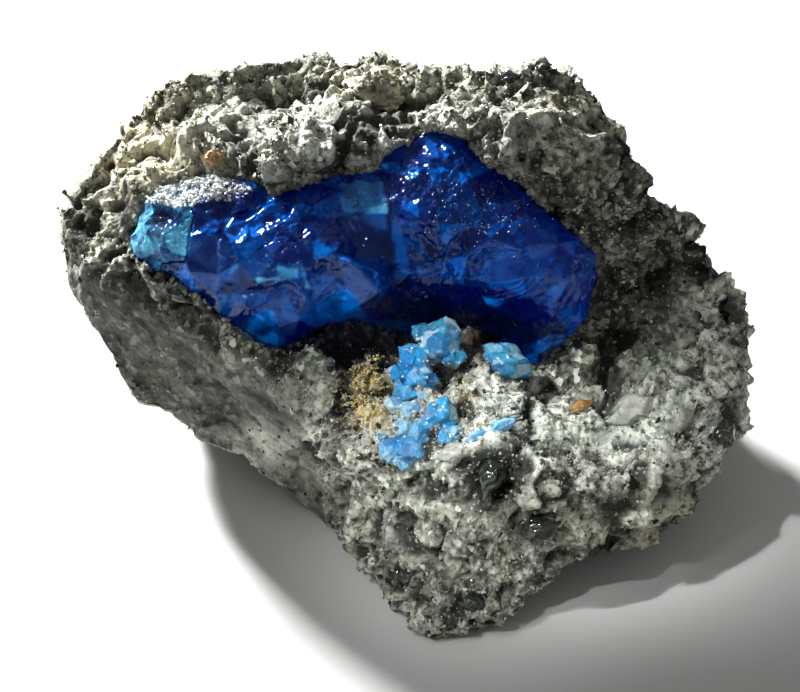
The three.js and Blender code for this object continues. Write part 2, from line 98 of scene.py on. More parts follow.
# Points that the front passes through, by the part of the face that they shape
FRONT = {
    "top_of_block": (
        (-3.75, 4.1, -0.2), (-3.75, 5.5, -1.7), (-3.75, 6.5, -2.9), (-5.5, 6.0, -2.9),
        (-6.25, 4.75, -2.1), (-5.0, 4.75, -1.2), (-5.25, 3.95, -0.6), (-7.5, 4.0, -2.6),
        (-2.25, 5.75, -1.5), (-2.25, 4.5, -0.1), (-1.25, 4.75, -0.3), (-0.5, 6.0, -1.6),
        (-0.5, 6.75, -2.6), (1.0, 5.75, -0.7), (0.0, 5.15, -0.5), (2.0, 6.0, -0.6),
        (3.5, 6.5, -0.8), (3.5, 5.25, 0.1), (2.5, 4.5, 0.1), (4.75, 5.25, -0.3),
        (4.0, 3.75, 0.3), (5.0, 4.25, 0.0),
    ),
    "left_rim": (
        (-6.75, 3.5, -1.3), (-7.25, 2.75, -1.4), (-8.2, 2.25, -2.5), (-7.25, 1.95, -1.1),
        (-7.9, 1.25, -2.2),
    ),
    "flank": (
        (-6.6, 1.9, -0.6), (-5.0, 0.7, 0.1), (-3.25, -0.4, 0.5), (-2.25, -1.1, 0.7),
        (-6.25, 0.0, -1.9), (-7.1, 0.0, -2.6), (-5.0, -1.5, -2.1), (-5.0, -0.25, -1.1),
        (-3.75, -1.5, -1.2), (-6.0, -1.25, -2.7), (-3.5, -2.5, -1.9), (-2.25, -2.5, -0.7),
        (-2.5, -3.5, -2.0), (-1.75, -3.5, -1.1), (-1.6, -4.5, -1.9),
    ),
    "foot": (
        (-1.25, -3.0, 0.4), (-0.75, -4.25, 0.2), (-0.4, -5.5, -0.2), (0.0, -3.5, 1.2),
        (0.5, -5.0, 0.9), (0.75, -6.5, 0.5), (1.75, -5.5, 1.1), (2.0, -6.5, 0.6),
        (3.0, -5.9, 0.6),
    ),
    "nose": (
        (1.0, -2.75, 1.9), (2.25, -2.3, 2.2), (3.25, -3.1, 2.3), (2.5, -4.0, 2.4),
        (1.25, -4.0, 1.8), (3.5, -4.5, 2.1), (2.5, -5.1, 1.6),
    ),
    "under_shelf": (
        (4.0, -3.9, 2.1), (5.0, -3.5, 1.9), (6.25, -3.2, 1.4), (7.5, -2.9, 0.5),
        (5.0, -4.6, 0.9), (6.25, -4.5, 0.2), (7.25, -3.6, -0.2),
    ),
    "shelf": (
        (4.25, -3.1, 1.9), (5.5, -2.75, 1.3), (5.0, -2.0, 0.6), (6.25, -2.1, 0.7),
        (7.5, -2.25, 0.4), (4.25, -1.25, -0.1), (5.5, -1.1, -0.5), (6.5, -1.25, -0.2),
        (7.5, -1.1, -0.3), (3.25, -2.25, 1.2),
    ),
    "right_hollow": (
        (5.5, -0.5, -1.5), (6.5, -0.25, -1.7), (5.0, 0.5, -1.6), (5.75, 1.25, -1.6),
        (6.75, 1.0, -1.7), (6.25, 2.25, -1.2), (5.25, 2.5, -0.8), (6.0, 3.1, -0.6),
        (4.5, 3.25, 0.2),
    ),
    "right_rim": (
        (7.5, 1.75, -1.0), (7.75, 0.75, -0.6), (8.2, 0.0, -0.7), (8.0, -1.25, -0.5),
    ),
    "crystal_seat": (
        (-6.0, 2.75, -1.8), (-4.25, 2.25, -1.6), (-2.5, 1.75, -1.6), (-0.5, 2.5, -1.8),
        (1.0, 3.75, -1.4), (2.5, 2.5, -1.6), (4.0, 1.5, -1.5), (0.5, 1.0, -2.2),
        (-1.5, -0.1, -2.0), (0.0, 0.1, -2.2), (-2.5, -0.25, -1.3), (2.5, 0.25, -1.5),
    ),
    "ledge": (
        (-1.75, -0.75, -0.6), (-1.0, -0.4, -0.6), (-0.9, -1.25, 0.5), (-1.5, -2.0, 0.6),
        (-0.5, -2.6, 1.2), (0.5, -2.5, 1.5), (1.0, -1.5, 1.0), (2.0, -1.1, 0.9),
        (2.75, -1.5, 1.3), (1.75, -0.1, -0.4), (1.0, -0.5, 0.0), (3.0, -0.75, 0.1),
    ),
}

# Points that the back and the underside pass through
BACK = (
    (-1.0, 6.55, -4.3), (-6.0, 4.95, -5.5), (-7.8, 2.75, -5.3), (-1.0, 4.6, -6.6),
    (-1.0, 0.8, -9.1), (4.0, 0.15, -8.4), (6.5, 2.35, -4.9), (4.5, 6.2, -2.9),
    (7.2, -2.05, -5.2), (-5.5, -1.2, -7.0), (-7.2, -0.2, -4.9), (0.0, -3.2, -5.4),
    (-1.8, -4.75, -3.2), (4.0, -5.0, -2.7), (-5.0, 0.7, -8.6), (6.3, -0.85, -7.0),
    (4.0, -2.2, -6.4), (0.0, -0.8, -7.9),
)

# The blue crystal's outline where it meets the rock, and the corners of its facets, x, y and z
CRYSTAL_RIM = (
    (-6.8, 2.6, -1.0), (-6.65, 3.05, -1.0), (-6.4, 3.62, -0.9), (-6.0, 3.88, -0.75),
    (-5.25, 4.05, -0.6), (-4.3, 4.1, -0.55), (-3.75, 3.98, -0.5), (-3.15, 3.68, -0.45),
    (-2.6, 3.8, -0.5), (-2.2, 4.0, -0.55), (-1.25, 4.2, -0.55), (-0.62, 4.25, -0.5),
    (-0.5, 4.6, -0.55), (0.0, 4.92, -0.6), (0.6, 5.22, -0.7), (1.1, 5.28, -0.7),
    (1.65, 5.05, -0.55), (1.97, 4.58, -0.4), (2.38, 4.28, -0.3), (3.02, 3.88, -0.2),
    (3.35, 3.5, -0.1), (3.95, 3.05, -0.1), (4.55, 2.55, -0.2), (4.87, 2.15, -0.3),
    (4.93, 1.5, -0.3), (4.72, 0.6, -0.4), (4.2, 0.02, -0.4), (3.5, -0.62, -0.6),
    (3.0, -0.52, -0.8), (2.5, 0.0, -0.9), (2.0, 0.32, -0.9), (1.25, 0.42, -0.9),
    (0.6, 0.22, -1.0), (0.2, 0.12, -1.0), (-0.75, 0.45, -0.8), (-1.6, 0.45, -0.4),
    (-2.1, 0.32, -0.3), (-2.75, -0.12, -0.3), (-3.1, -0.32, -0.3), (-3.75, -0.12, -0.35),
    (-4.37, 0.52, -0.3), (-5.02, 1.08, -0.3), (-5.72, 1.62, -0.4), (-6.28, 1.84, -0.6),
    (-6.72, 2.15, -0.9),
)
FACET_CORNERS = {
    "pale_end": (
        (-6.0, 3.42, -0.35), (-5.5, 3.25, -0.1), (-5.15, 3.1, 0.15), (-6.45, 2.95, -0.5),
        (-6.0, 2.65, -0.1), (-5.6, 2.8, 0.15), (-5.28, 2.5, 0.35), (-5.35, 1.97, 0.2),
        (-5.95, 1.95, -0.15), (-6.4, 2.35, -0.45), (-5.75, 3.05, -0.35),
    ),
    "left": (
        (-4.7, 3.55, -0.05), (-4.1, 3.5, 0.0), (-5.05, 2.62, 0.45), (-4.5, 2.88, 0.35),
        (-3.85, 3.0, 0.3), (-3.45, 3.27, 0.2), (-3.0, 3.52, 0.0), (-4.6, 2.58, 0.5),
        (-4.2, 2.25, 0.65), (-4.5, 1.62, 0.45), (-5.2, 1.75, 0.2), (-3.4, 2.72, 0.72),
        (-2.85, 3.0, 0.7), (-2.6, 3.38, 0.45), (-2.48, 2.95, 0.8), (-3.35, 2.35, 0.62),
        (-2.55, 2.45, 0.95), (-4.0, 1.9, 0.78), (-3.1, 1.88, 0.8), (-2.5, 1.9, 0.98),
        (-3.6, 1.5, 0.7), (-2.75, 1.47, 0.88), (-4.6, 1.15, 0.2), (-4.0, 1.15, 0.3),
        (-3.4, 1.2, 0.42), (-2.85, 1.3, 0.65), (-2.3, 1.05, 0.72), (-2.5, 0.5, 0.3),
        (-3.75, 0.75, 0.42), (-3.35, 0.9, 0.55), (-3.0, 0.35, 0.2), (-3.8, 0.3, 0.0),
        (-2.87, -0.02, -0.15),
    ),
    "ridge": (
        (-2.1, 2.5, 1.1), (-1.62, 2.15, 1.25), (-2.15, 2.0, 0.98), (-1.55, 1.6, 0.85),
        (-1.0, 1.78, 1.22), (-0.5, 1.22, 1.05), (-0.95, 0.87, 0.62), (-1.35, 1.32, 0.85),
        (-2.2, 1.62, 0.85), (-2.1, 0.9, 0.4), (-1.5, 0.6, 0.02), (-1.0, 0.55, 0.0),
        (-1.35, 2.6, 0.5), (-0.75, 2.1, 0.5), (-0.15, 1.35, 0.3),
    ),
    "upper_middle": (
        (-2.2, 3.3, 0.1), (-1.5, 3.1, 0.15), (-0.9, 3.15, 0.3), (-0.33, 3.15, 0.35),
        (-0.35, 3.8, -0.1), (-1.5, 3.7, -0.25), (-0.25, 2.7, 0.3), (-0.3, 1.95, 0.3),
    ),
    "pyramid": (
        (0.0, 4.45, -0.2), (0.6, 4.3, 0.25), (1.15, 4.55, 0.2), (1.85, 4.4, -0.1),
        (1.7, 3.95, 0.3), (0.5, 3.95, 0.35), (-0.2, 3.55, 0.15), (1.0, 3.6, 0.62),
        (2.0, 3.35, 0.6), (3.0, 3.4, 0.35), (0.45, 3.02, 0.72), (0.75, 2.88, 0.85),
        (1.7, 2.86, 0.88), (2.6, 2.88, 0.82), (0.0, 2.85, 0.4), (0.5, 2.65, 0.55),
        (3.1, 3.07, 0.62),
    ),
    "right": (
        (1.15, 2.05, 0.35), (0.1, 2.5, 0.3), (0.75, 1.85, 0.25), (0.25, 1.65, 0.1),
        (1.65, 2.1, 0.75), (2.25, 2.5, 0.95), (1.6, 1.6, 0.6), (2.3, 1.95, 0.62),
        (3.1, 2.2, 0.9), (3.0, 1.5, 0.75), (2.2, 1.4, 0.6), (3.9, 2.4, 0.55),
        (4.35, 2.1, 0.3), (3.7, 1.7, 0.78), (4.2, 1.5, 0.55), (4.6, 1.0, 0.05),
        (3.75, 0.6, 0.1), (3.3, 1.0, 0.4), (2.5, 1.0, 0.25), (1.0, 1.2, -0.1),
        (0.3, 0.9, -0.4), (1.5, 0.8, -0.3), (2.3, 0.5, -0.5), (3.0, 0.35, -0.5),
        (3.5, 0.05, -0.2), (4.0, 0.22, -0.15), (3.45, -0.35, -0.35),
    ),
}
# Creases that the facets must keep, each through the corners nearest to these places
CREASES = (
    ((-2.48, 2.95), (-2.1, 2.5), (-1.62, 2.15), (-1.0, 1.78), (-0.5, 1.22), (-0.95, 0.87)),
    ((-1.62, 2.15), (-1.55, 1.6), (-1.35, 1.32), (-0.95, 0.87)),
    ((-3.4, 2.72), (-2.85, 3.0), (-2.6, 3.38)),
    ((-1.5, 3.1), (-0.9, 3.15), (-0.33, 3.15), (-0.25, 2.7)),
    ((0.45, 3.02), (0.75, 2.88), (1.7, 2.86), (2.6, 2.88), (3.1, 3.07)),
    ((-3.6, 1.5), (-2.75, 1.47), (-2.5, 1.9)),
    ((-4.6, 1.15), (-4.0, 1.15), (-3.4, 1.2), (-2.85, 1.3), (-2.3, 1.05), (-2.5, 0.5)),
    ((-3.8, 0.3), (-3.75, 0.75), (-3.35, 0.9), (-3.0, 0.35), (-2.87, -0.02)),
    ((-5.15, 3.1), (-5.28, 2.5), (-5.35, 1.97), (-5.95, 1.95)),
    ((-4.6, 2.58), (-4.2, 2.25), (-4.0, 1.9), (-4.5, 1.62)),
    ((1.6, 1.6), (1.65, 2.1), (2.25, 2.5), (3.1, 2.2), (3.0, 1.5), (2.2, 1.4), (1.6, 1.6)),
)
# Steps with a rounded edge that catch the light: a line, and how far its upper side drops
LIT_STEPS = (
    (((-3.5, 2.6), (-3.05, 2.82), (-2.8, 3.02)), 0.2),
    (((-2.82, 3.06), (-2.68, 3.2), (-2.6, 3.4)), 0.22),
    (((-3.78, 3.02), (-3.6, 3.15), (-3.4, 3.3)), 0.16),
    (((-3.45, 2.25), (-3.2, 2.42)), 0.14),
    (((-2.48, 2.46), (-2.25, 2.66)), 0.14),
    (((-4.65, 2.6), (-4.2, 2.82), (-3.8, 2.98)), 0.1),
    (((-5.0, 2.62), (-4.7, 2.86), (-4.3, 2.98)), 0.1),
    (((-4.0, 2.55), (-3.85, 2.65)), 0.12),
    (((-4.75, 3.2), (-4.5, 3.36), (-4.2, 3.42)), 0.12),
    (((-4.35, 3.1), (-4.15, 3.22)), 0.12),
    (((-3.25, 3.42), (-3.0, 3.62)), 0.12),
    (((-1.42, 3.74), (-1.25, 3.88)), 0.14),
    (((0.42, 4.42), (0.6, 4.6)), 0.12),
    (((0.5, 3.48), (0.75, 3.75)), 0.14),
    (((1.05, 4.18), (1.25, 4.22)), 0.12),
    (((-0.15, 3.55), (0.0, 3.65)), 0.1),
    (((1.85, 1.55), (2.1, 1.65)), 0.14),
    (((-0.2, 4.1), (0.02, 4.3)), 0.1),
    (((2.45, 2.85), (2.62, 2.95)), 0.1),
    (((-2.1, 3.0), (-1.9, 3.15)), 0.1),
)


class Tint(Enum):
    """What a place on the blue crystal shows: a painted reflection, glow, pale ice, crust, sparkles
    or depth.
    """

    PAINTED_REFLECTION = "painted_reflection"
    GLOW = "glow"
    ICE = "ice"
    CRUST = "crust"
    SPARK = "spark"
    DEEP = "deep"


# Where each tint lies: its strength from 0 to 1 and the corners of its place
TINTS = {
    # Painted reflections: facets coloured slate-blue as if they mirrored the bright surroundings,
    # and thin painted glint streaks
    Tint.PAINTED_REFLECTION: (
        (0.55, (
            (-5.25, 2.54), (-4.67, 2.6), (-4.33, 2.46), (-4.17, 2.2), (-4.25, 1.9), (-4.5, 1.62),
            (-4.8, 1.75), (-5.05, 1.9), (-5.3, 2.0),
        )),
        (0.5, (
            (-4.08, 1.95), (-3.5, 1.97), (-3.0, 1.75), (-3.1, 1.58), (-3.6, 1.52), (-3.95, 1.65),
        )),
        (0.6, (
            (-4.65, 1.1), (-4.1, 1.12), (-3.4, 1.2), (-2.85, 1.35), (-2.6, 1.33), (-2.3, 1.08),
            (-2.25, 0.83), (-2.5, 0.5), (-2.75, 0.05), (-3.0, 0.25), (-3.3, 0.9), (-3.7, 0.75),
            (-3.9, 0.95),
        )),
        (0.8, (
            (-1.62, 2.15), (-1.0, 1.8), (-0.5, 1.22), (-0.96, 0.88), (-1.37, 1.37), (-1.5, 1.8),
        )),
        (0.6, ((-1.4, 3.1), (-0.9, 3.12), (-0.33, 3.12), (-0.27, 2.72), (-0.6, 2.8), (-1.0, 2.95))),
        (0.7, (
            (-0.25, 3.14), (-0.05, 3.03), (0.42, 2.87), (0.55, 2.72), (0.15, 2.62), (-0.2, 2.67),
        )),
        (0.35, (
            (1.55, 1.9), (1.75, 2.3), (2.3, 2.53), (2.9, 2.35), (3.1, 1.95), (2.9, 1.55),
            (2.3, 1.4), (1.75, 1.45),
        )),
        (0.6, ((3.1, 2.4), (3.5, 2.45), (3.95, 2.35), (3.6, 2.05), (3.2, 1.95))),
        (0.45, ((3.3, 1.8), (4.0, 1.75), (4.2, 1.3), (3.4, 1.4))),
        (0.7, ((4.1, 1.62), (4.6, 1.65), (4.85, 1.5), (4.8, 1.1), (4.4, 0.98), (4.15, 1.2))),
        (0.75, ((3.8, 1.5), (4.05, 1.5), (3.95, 1.0), (3.82, 0.45), (3.7, 0.8))),
        (0.35, ((-4.5, 0.75), (-4.1, 0.6), (-3.7, 0.3), (-3.0, -0.25), (-3.4, -0.3), (-4.1, 0.2))),
        (0.35, ((-3.4, 2.1), (-3.2, 2.45), (-2.8, 2.6), (-2.6, 2.3), (-2.9, 2.0))),
        (1.0, ((-1.32, 3.0), (-1.27, 3.0), (-1.0, 2.55))),
        (1.0, ((-1.12, 3.02), (-1.07, 3.02), (-0.82, 2.5))),
        (1.0, ((-0.92, 3.05), (-0.87, 3.05), (-0.66, 2.5))),
        (1.0, ((-0.75, 3.05), (-0.7, 3.05), (-0.53, 2.55))),
        (0.8, ((-1.45, 3.0), (-1.42, 3.02), (-1.15, 2.35))),
    ),
    Tint.GLOW: (
        (0.9, (
            (-3.71, 0.75), (-3.46, 0.88), (-3.12, 0.7), (-2.92, 0.25), (-2.85, -0.04), (-3.0, -0.2),
            (-3.5, 0.0), (-3.83, 0.25),
        )),
        (0.5, ((-2.17, 2.42), (-2.0, 2.5), (-1.6, 2.02), (-2.15, 2.0))),
        (0.45, (
            (-2.2, 1.65), (-1.6, 1.6), (-1.35, 1.3), (-1.0, 0.9), (-1.0, 0.52), (-2.0, 0.5),
            (-2.1, 1.1),
        )),
        (0.55, ((-4.2, 2.3), (-3.95, 2.45), (-3.4, 2.55), (-3.5, 2.3), (-3.8, 2.0), (-4.1, 2.0))),
        (0.4, ((-2.6, 3.7), (-2.3, 3.7), (-2.3, 3.3), (-2.5, 3.1))),
        (0.7, ((-0.5, 4.4), (-0.1, 4.55), (0.1, 4.3), (-0.1, 4.1), (-0.35, 4.15))),
        (0.6, ((0.0, 4.3), (0.45, 4.35), (0.55, 4.1), (0.3, 3.98), (-0.05, 4.05))),
        (0.45, ((1.1, 4.65), (1.6, 4.85), (1.85, 4.45), (1.8, 4.0), (1.55, 3.9), (1.3, 4.2))),
        (0.35, ((0.95, 3.35), (1.3, 3.3), (1.2, 3.05), (0.9, 3.05))),
        (0.4, ((1.0, 2.8), (1.4, 2.75), (1.25, 2.35), (0.95, 2.4))),
        (0.8, ((2.05, 1.1), (2.25, 1.1), (2.6, 1.0), (2.4, 0.78), (2.15, 0.85))),
        (0.45, ((0.1, 1.7), (0.55, 1.8), (0.7, 1.75), (0.5, 1.6), (0.2, 1.6))),
        (0.35, ((0.0, 2.5), (0.25, 2.45), (0.3, 2.2), (0.1, 2.2))),
        (0.6, ((3.4, 0.05), (3.95, 0.15), (3.7, -0.15), (3.55, -0.4), (3.35, -0.3))),
        (0.3, ((3.1, -0.1), (3.4, 0.0), (3.4, -0.5), (3.1, -0.45))),
        (0.35, ((-5.6, 1.95), (-5.0, 1.8), (-4.4, 1.6), (-4.5, 1.2), (-5.0, 1.3), (-5.5, 1.6))),
    ),
    Tint.DEEP: (
        (1.0, ((-0.34, 3.9), (-0.28, 3.9), (-0.2, 2.6), (-0.12, 1.4), (-0.2, 1.4), (-0.3, 2.6))),
        (1.0, ((-6.15, 3.3), (-5.7, 3.35), (-5.4, 3.1), (-5.7, 2.8), (-6.05, 2.85))),
        (1.0, (
            (-0.8, 0.5), (-0.1, 1.5), (0.8, 1.6), (1.6, 1.35), (2.6, 1.3), (3.6, 0.9), (4.2, 0.2),
            (3.0, -0.5), (1.2, 0.4),
        )),
        (0.8, ((-4.4, 1.5), (-3.7, 1.5), (-2.9, 1.42), (-3.4, 1.2), (-4.4, 1.15))),
        (0.6, ((-2.2, 3.1), (-1.4, 3.1), (-0.3, 2.7), (-0.2, 1.5), (-1.0, 1.85), (-2.1, 2.6))),
        (0.6, ((0.5, 2.8), (2.4, 2.8), (1.6, 2.2), (1.0, 1.9), (0.4, 2.4))),
    ),
    Tint.ICE: (
        (0.5, (
            (-1.5, 3.95), (-0.9, 4.0), (-0.45, 3.95), (-0.33, 3.5), (-0.35, 3.18), (-0.9, 3.15),
            (-1.4, 3.2), (-1.5, 3.5),
        )),
        (0.9, ((-0.8, 3.28), (-0.33, 3.4), (-0.33, 3.17), (-0.65, 3.16))),
        (0.85, ((-3.05, 1.8), (-2.5, 1.85), (-2.48, 1.5), (-2.8, 1.45), (-3.05, 1.55))),
        (1.0, ((-3.6, 1.52), (-3.0, 1.6), (-2.75, 1.5), (-2.9, 1.44), (-3.55, 1.42))),
        (0.6, ((-2.55, 2.0), (-2.45, 2.0), (-2.3, 1.6), (-2.2, 1.3), (-2.35, 1.3), (-2.5, 1.7))),
        (0.5, ((-4.2, 1.9), (-3.98, 1.95), (-4.05, 1.6), (-4.3, 1.62))),
        (1.0, ((-6.45, 2.65), (-6.1, 2.62), (-5.98, 2.3), (-6.2, 2.1), (-6.5, 2.25))),
        (1.0, (
            (-5.95, 2.62), (-5.55, 2.85), (-5.22, 3.05), (-5.2, 2.5), (-5.35, 2.1), (-5.75, 2.15),
        )),
        (0.5, ((-6.7, 3.0), (-6.4, 3.3), (-6.1, 3.4), (-6.2, 2.9), (-6.5, 2.5), (-6.8, 2.5))),
        (0.7, ((-6.3, 2.0), (-5.9, 2.0), (-6.0, 1.75), (-6.2, 1.8))),
    ),
    Tint.SPARK: (
        (0.5, ((-6.6, 3.0), (-5.9, 3.4), (-5.2, 3.1), (-5.3, 2.0), (-6.4, 2.0))),
        (1.0, ((-5.2, 3.4), (-4.3, 3.9), (-3.6, 3.9), (-3.0, 3.6), (-3.5, 3.3), (-4.6, 3.0))),
        (0.8, ((-2.0, 4.1), (-0.4, 4.2), (0.4, 4.6), (0.9, 3.6), (-0.2, 3.4), (-1.9, 3.1))),
        (1.0, ((0.9, 3.8), (2.4, 4.1), (3.3, 3.5), (3.6, 3.2), (2.6, 2.85), (0.7, 2.85))),
    ),
    Tint.CRUST: (
        (1.0, (
            (-6.45, 3.8), (-5.2, 4.1), (-4.3, 4.1), (-4.2, 3.85), (-4.67, 3.55), (-5.12, 3.36),
            (-5.5, 3.28), (-6.0, 3.42), (-6.4, 3.42),
        )),
        (0.45, ((-4.3, 4.1), (-3.9, 3.95), (-3.6, 3.8), (-3.9, 3.55), (-4.6, 3.5))),
    ),
}
# Soft ovals of colour on the rock: strength, middle across and up, and half width and height
ROCK_SPOTS = {
    "tan": (
        (1.5, -6.6, 4.9, 1.7, 1.9), (0.5, 4.2, 5.6, 1.2, 0.9), (0.9, 6.0, -4.4, 2.0, 0.8),
        (0.45, -0.8, -1.4, 0.8, 0.9), (0.6, -1.0, 6.5, 2.0, 0.9), (0.4, 6.3, -4.9, 1.0, 0.4),
    ),
    # pale: partly the rock's own white grains, as on the ledge, and partly painted light on the lit
    # top, shelf and lower front
    "pale": (
        (0.9, 7.0, -1.8, 1.6, 1.0), (0.8, 2.2, -1.4, 1.1, 0.8), (0.5, 4.8, -2.6, 2.2, 0.6),
        (0.5, -3.0, 5.4, 3.2, 0.9), (0.5, 8.0, -0.8, 0.7, 1.4), (0.4, -2.4, -1.4, 1.2, 0.6),
        (2.0, 2.7, -1.7, 0.9, 0.8), (1.0, 5.0, -2.6, 1.8, 0.7), (1.0, -0.2, -2.9, 1.2, 0.3),
        (0.9, -1.0, -2.45, 0.9, 0.28), (0.8, 7.6, 0.2, 0.6, 1.5), (0.7, 1.6, -2.75, 0.7, 0.35),
        (0.5, 3.6, -3.2, 1.6, 0.5), (1.3, -3.9, -2.7, 2.2, 0.55), (0.4, -7.2, 3.6, 1.2, 1.2),
        (0.4, 6.0, -4.2, 1.6, 0.7), (0.5, 0.4, 5.0, 2.2, 0.8), (0.35, -1.5, 5.6, 4.5, 1.2),
        (0.3, 3.4, 4.8, 1.6, 1.2),
    ),
    "gold": (
        (1.3, -0.8, -1.35, 0.55, 0.95), (0.8, 1.6, -1.3, 0.3, 0.6),
    ),
    # brown_and_shade: darker brownish ovals under the crystal, the shelf and the nose, partly the
    # rock's own tone and partly painted shade
    "brown_and_shade": (
        (1.3, 1.9, 0.0, 0.75, 0.55), (1.0, -0.8, -0.35, 0.7, 0.35), (0.8, 5.2, -3.9, 1.6, 0.3),
        (1.0, 3.0, -4.5, 0.6, 0.4),
    ),
    # hollow_shade: painted shade, near-black ovals in the right hollow, the cleft, the hollow by
    # the foot and the gap under the crystal
    "hollow_shade": (
        (1.2, 1.8, -6.5, 0.3, 0.22), (1.0, 5.0, -2.2, 0.35, 0.12), (0.8, 3.2, -1.6, 0.12, 0.9),
        (0.9, 6.1, 0.9, 1.4, 1.9), (0.7, -1.2, -0.6, 1.4, 0.5), (0.6, 0.3, 0.3, 1.4, 0.5),
    ),
    # shade: painted shade, dark ovals in recesses, crevices, the augite hole and beside nodules
    "shade": (
        (2.4, 2.35, -3.35, 0.5, 0.55), (1.2, 3.12, -1.7, 0.08, 0.7), (0.9, -6.95, 3.4, 0.3, 0.7),
        (0.8, -4.1, 4.8, 0.35, 0.5), (0.55, -5.6, 0.5, 1.8, 0.6), (0.5, -3.0, -1.5, 1.3, 0.6),
        (0.5, -7.6, 1.2, 0.5, 0.8), (0.5, 3.0, 5.0, 1.0, 1.3), (0.45, 5.2, 4.4, 0.8, 0.9),
        (0.5, -0.8, 4.2, 0.9, 0.3), (0.6, 4.3, -5.2, 1.0, 0.16), (0.7, 3.1, -4.55, 0.45, 0.3),
        (0.5, 1.0, -5.9, 0.9, 0.3), (0.5, -8.0, 2.9, 0.5, 0.5),
    ),
}
# Soft ovals that are sunk in the rock by so many mm, and where some of the grains gather
HOLLOWS = (
    (0.85, 2.25, -3.45, 0.5, 0.6), (0.3, 3.2, -1.7, 0.12, 0.9),
)
SMALL_HOLLOWS = (
    (0.35, 1.8, -6.5, 0.35, 0.25), (0.3, -0.9, -0.3, 0.9, 0.35),
)
LEDGE_GRAIN_SPOTS = (
    (1.0, 2.3, -1.5, 1.0, 0.7), (0.8, -0.9, -2.5, 0.9, 0.3), (0.5, 5.2, -2.6, 1.6, 0.7),
    (1.0, 0.6, -1.7, 0.75, 0.9),
)
GOLD_GRAIN_SPOTS = (
    (1.0, -0.8, -1.3, 0.5, 0.9), (0.3, 1.6, -1.3, 0.2, 0.5),
)
# Where white flecks on the blue crystal stand in for its glints: painted highlights
GLINT_FLECK_SPOTS = (
    (1.0, 1.9, 3.3, 1.0, 0.6), (0.7, 1.6, 5.0, 0.5, 0.5), (0.5, 3.2, 3.4, 0.8, 0.9),
    (0.5, -4.6, 4.0, 0.7, 0.4),
)
# The line that parts the deep crystal from its pale end, from the top down
PALE_SPLIT = (
    (-5.2, 5.0), (-5.3, 3.6), (-5.14, 3.1), (-5.27, 2.5), (-5.34, 1.98), (-5.98, 1.92), (-6.1, 1.0),
)
RIM_PLAN = np.array(CRYSTAL_RIM)[:, :2]


# Noise, the same on every machine and in the model's source


def cell_number(cell: Array, salt: int) -> Array:
    """A fixed number from 0 to 1 for each whole-number cell of space.

    The three indices, each times a large odd number, are folded together, and the result is
    folded and multiplied again, all in 32 bits.

    Args:
        cell: Whole numbers, (..., 3).
        salt: Chooses one of many independent sets of numbers.

    Returns:
        Numbers from 0 to 1, (...).
    """
    c = (cell.astype(np.int64) & 0xFFFFFFFF).astype(np.uint32)
    h = c[..., 0] * np.uint32(73856093)
    h = h ^ (c[..., 1] * np.uint32(19349663)) ^ (c[..., 2] * np.uint32(83492791))
    h = h ^ np.uint32(salt * 40503 & 0xFFFFFFFF) ^ (h >> np.uint32(13))
    h = h * np.uint32(1274126177)
    return (h ^ (h >> np.uint32(16))).astype(float) / 4294967296


def lumps(p: Array, size: float, salt: int) -> Array:
    """Smooth lumps from -1 to 1: the cell numbers at a cell's eight corners, blended smoothly.

    Args:
        p: Points, (..., 3).
        size: The cell's width in the points' unit.
        salt: The set of numbers.

    Returns:
        Heights from -1 to 1, (...).
    """
    q = p / size
    base = np.floor(q)
    t = q - base
    t = t * t * (3 - 2 * t)
    total = np.zeros(p.shape[:-1])
    for corner in itertools.product((0, 1), repeat=3):
        step = np.array(corner)
        share = np.where(step, t, 1 - t).prod(-1)
        total += share * cell_number(base + step, salt)
    return 2 * total - 1


def seeds_near(p: Array, size: float, salt: int) -> list[tuple[Array, Array]]:
    """The seed of each of the 27 cells round every point.

    Args:
        p: Points, (..., 3).
        size: The cell's width.
        salt: The set of numbers for the seeds' places.

    Returns:
        For each neighbour its cell (..., 3) and the point's offset from its seed (..., 3), in
        cells.
    """
    base = np.floor(p / size)
    found = []
    for step in itertools.product((-1, 0, 1), repeat=3):
        cell = base + np.array(step[::-1])
        seed = np.stack([cell_number(cell, salt + m) for m in range(3)], -1)
        found.append((cell, p / size - cell - seed))
    return found


def flats(p: Array, size: float, salt: int, softness: float = 0.0) -> Array:
    """Tilted flats: each point takes the height of its nearest seed's own sloping plane.

    With softness, the planes of all near seeds are averaged, each weighted by e to the power of
    minus its squared distance over the softness, so that the steps between flats round off.

    Args:
        p: Points, (..., 3).
        size: The flats' width.
        salt: The set of numbers.
        softness: The blend's width in squared cells, 0 for sharp steps.

    Returns:
        Heights in cells, (...).
    """
    nearest = np.full(p.shape[:-1], np.inf)
    height = np.zeros(p.shape[:-1])
    total = np.zeros(p.shape[:-1])
    for cell, away in seeds_near(p, size, salt):
        distance = (away**2).sum(-1)
        slope = np.stack([2 * cell_number(cell, salt + 3 + m) - 1 for m in range(3)], -1)
        own = (away * slope).sum(-1)
        if softness:
            weight = np.exp(-distance / softness)
            height += weight * own
            total += weight
        else:
            closer = distance < nearest
            height = np.where(closer, own, height)
            nearest = np.where(closer, distance, nearest)
    return height / total if softness else height


def granules(p: Array, size: float, salt: int) -> Array:
    """Round grains side by side: one minus the squared distance to the nearest seed, in cells."""
    away = [(offset**2).sum(-1) for _, offset in seeds_near(p, size, salt)]
    return 1 - np.minimum.reduce(away) * 1.6


def smoothstep(value: Array, low: float, high: float) -> Array:
    """0 under low, 1 over high, and the smooth cubic 3t^2 - 2t^3 between."""
    t = np.clip((value - low) / (high - low), 0, 1)
    return t * t * (3 - 2 * t)


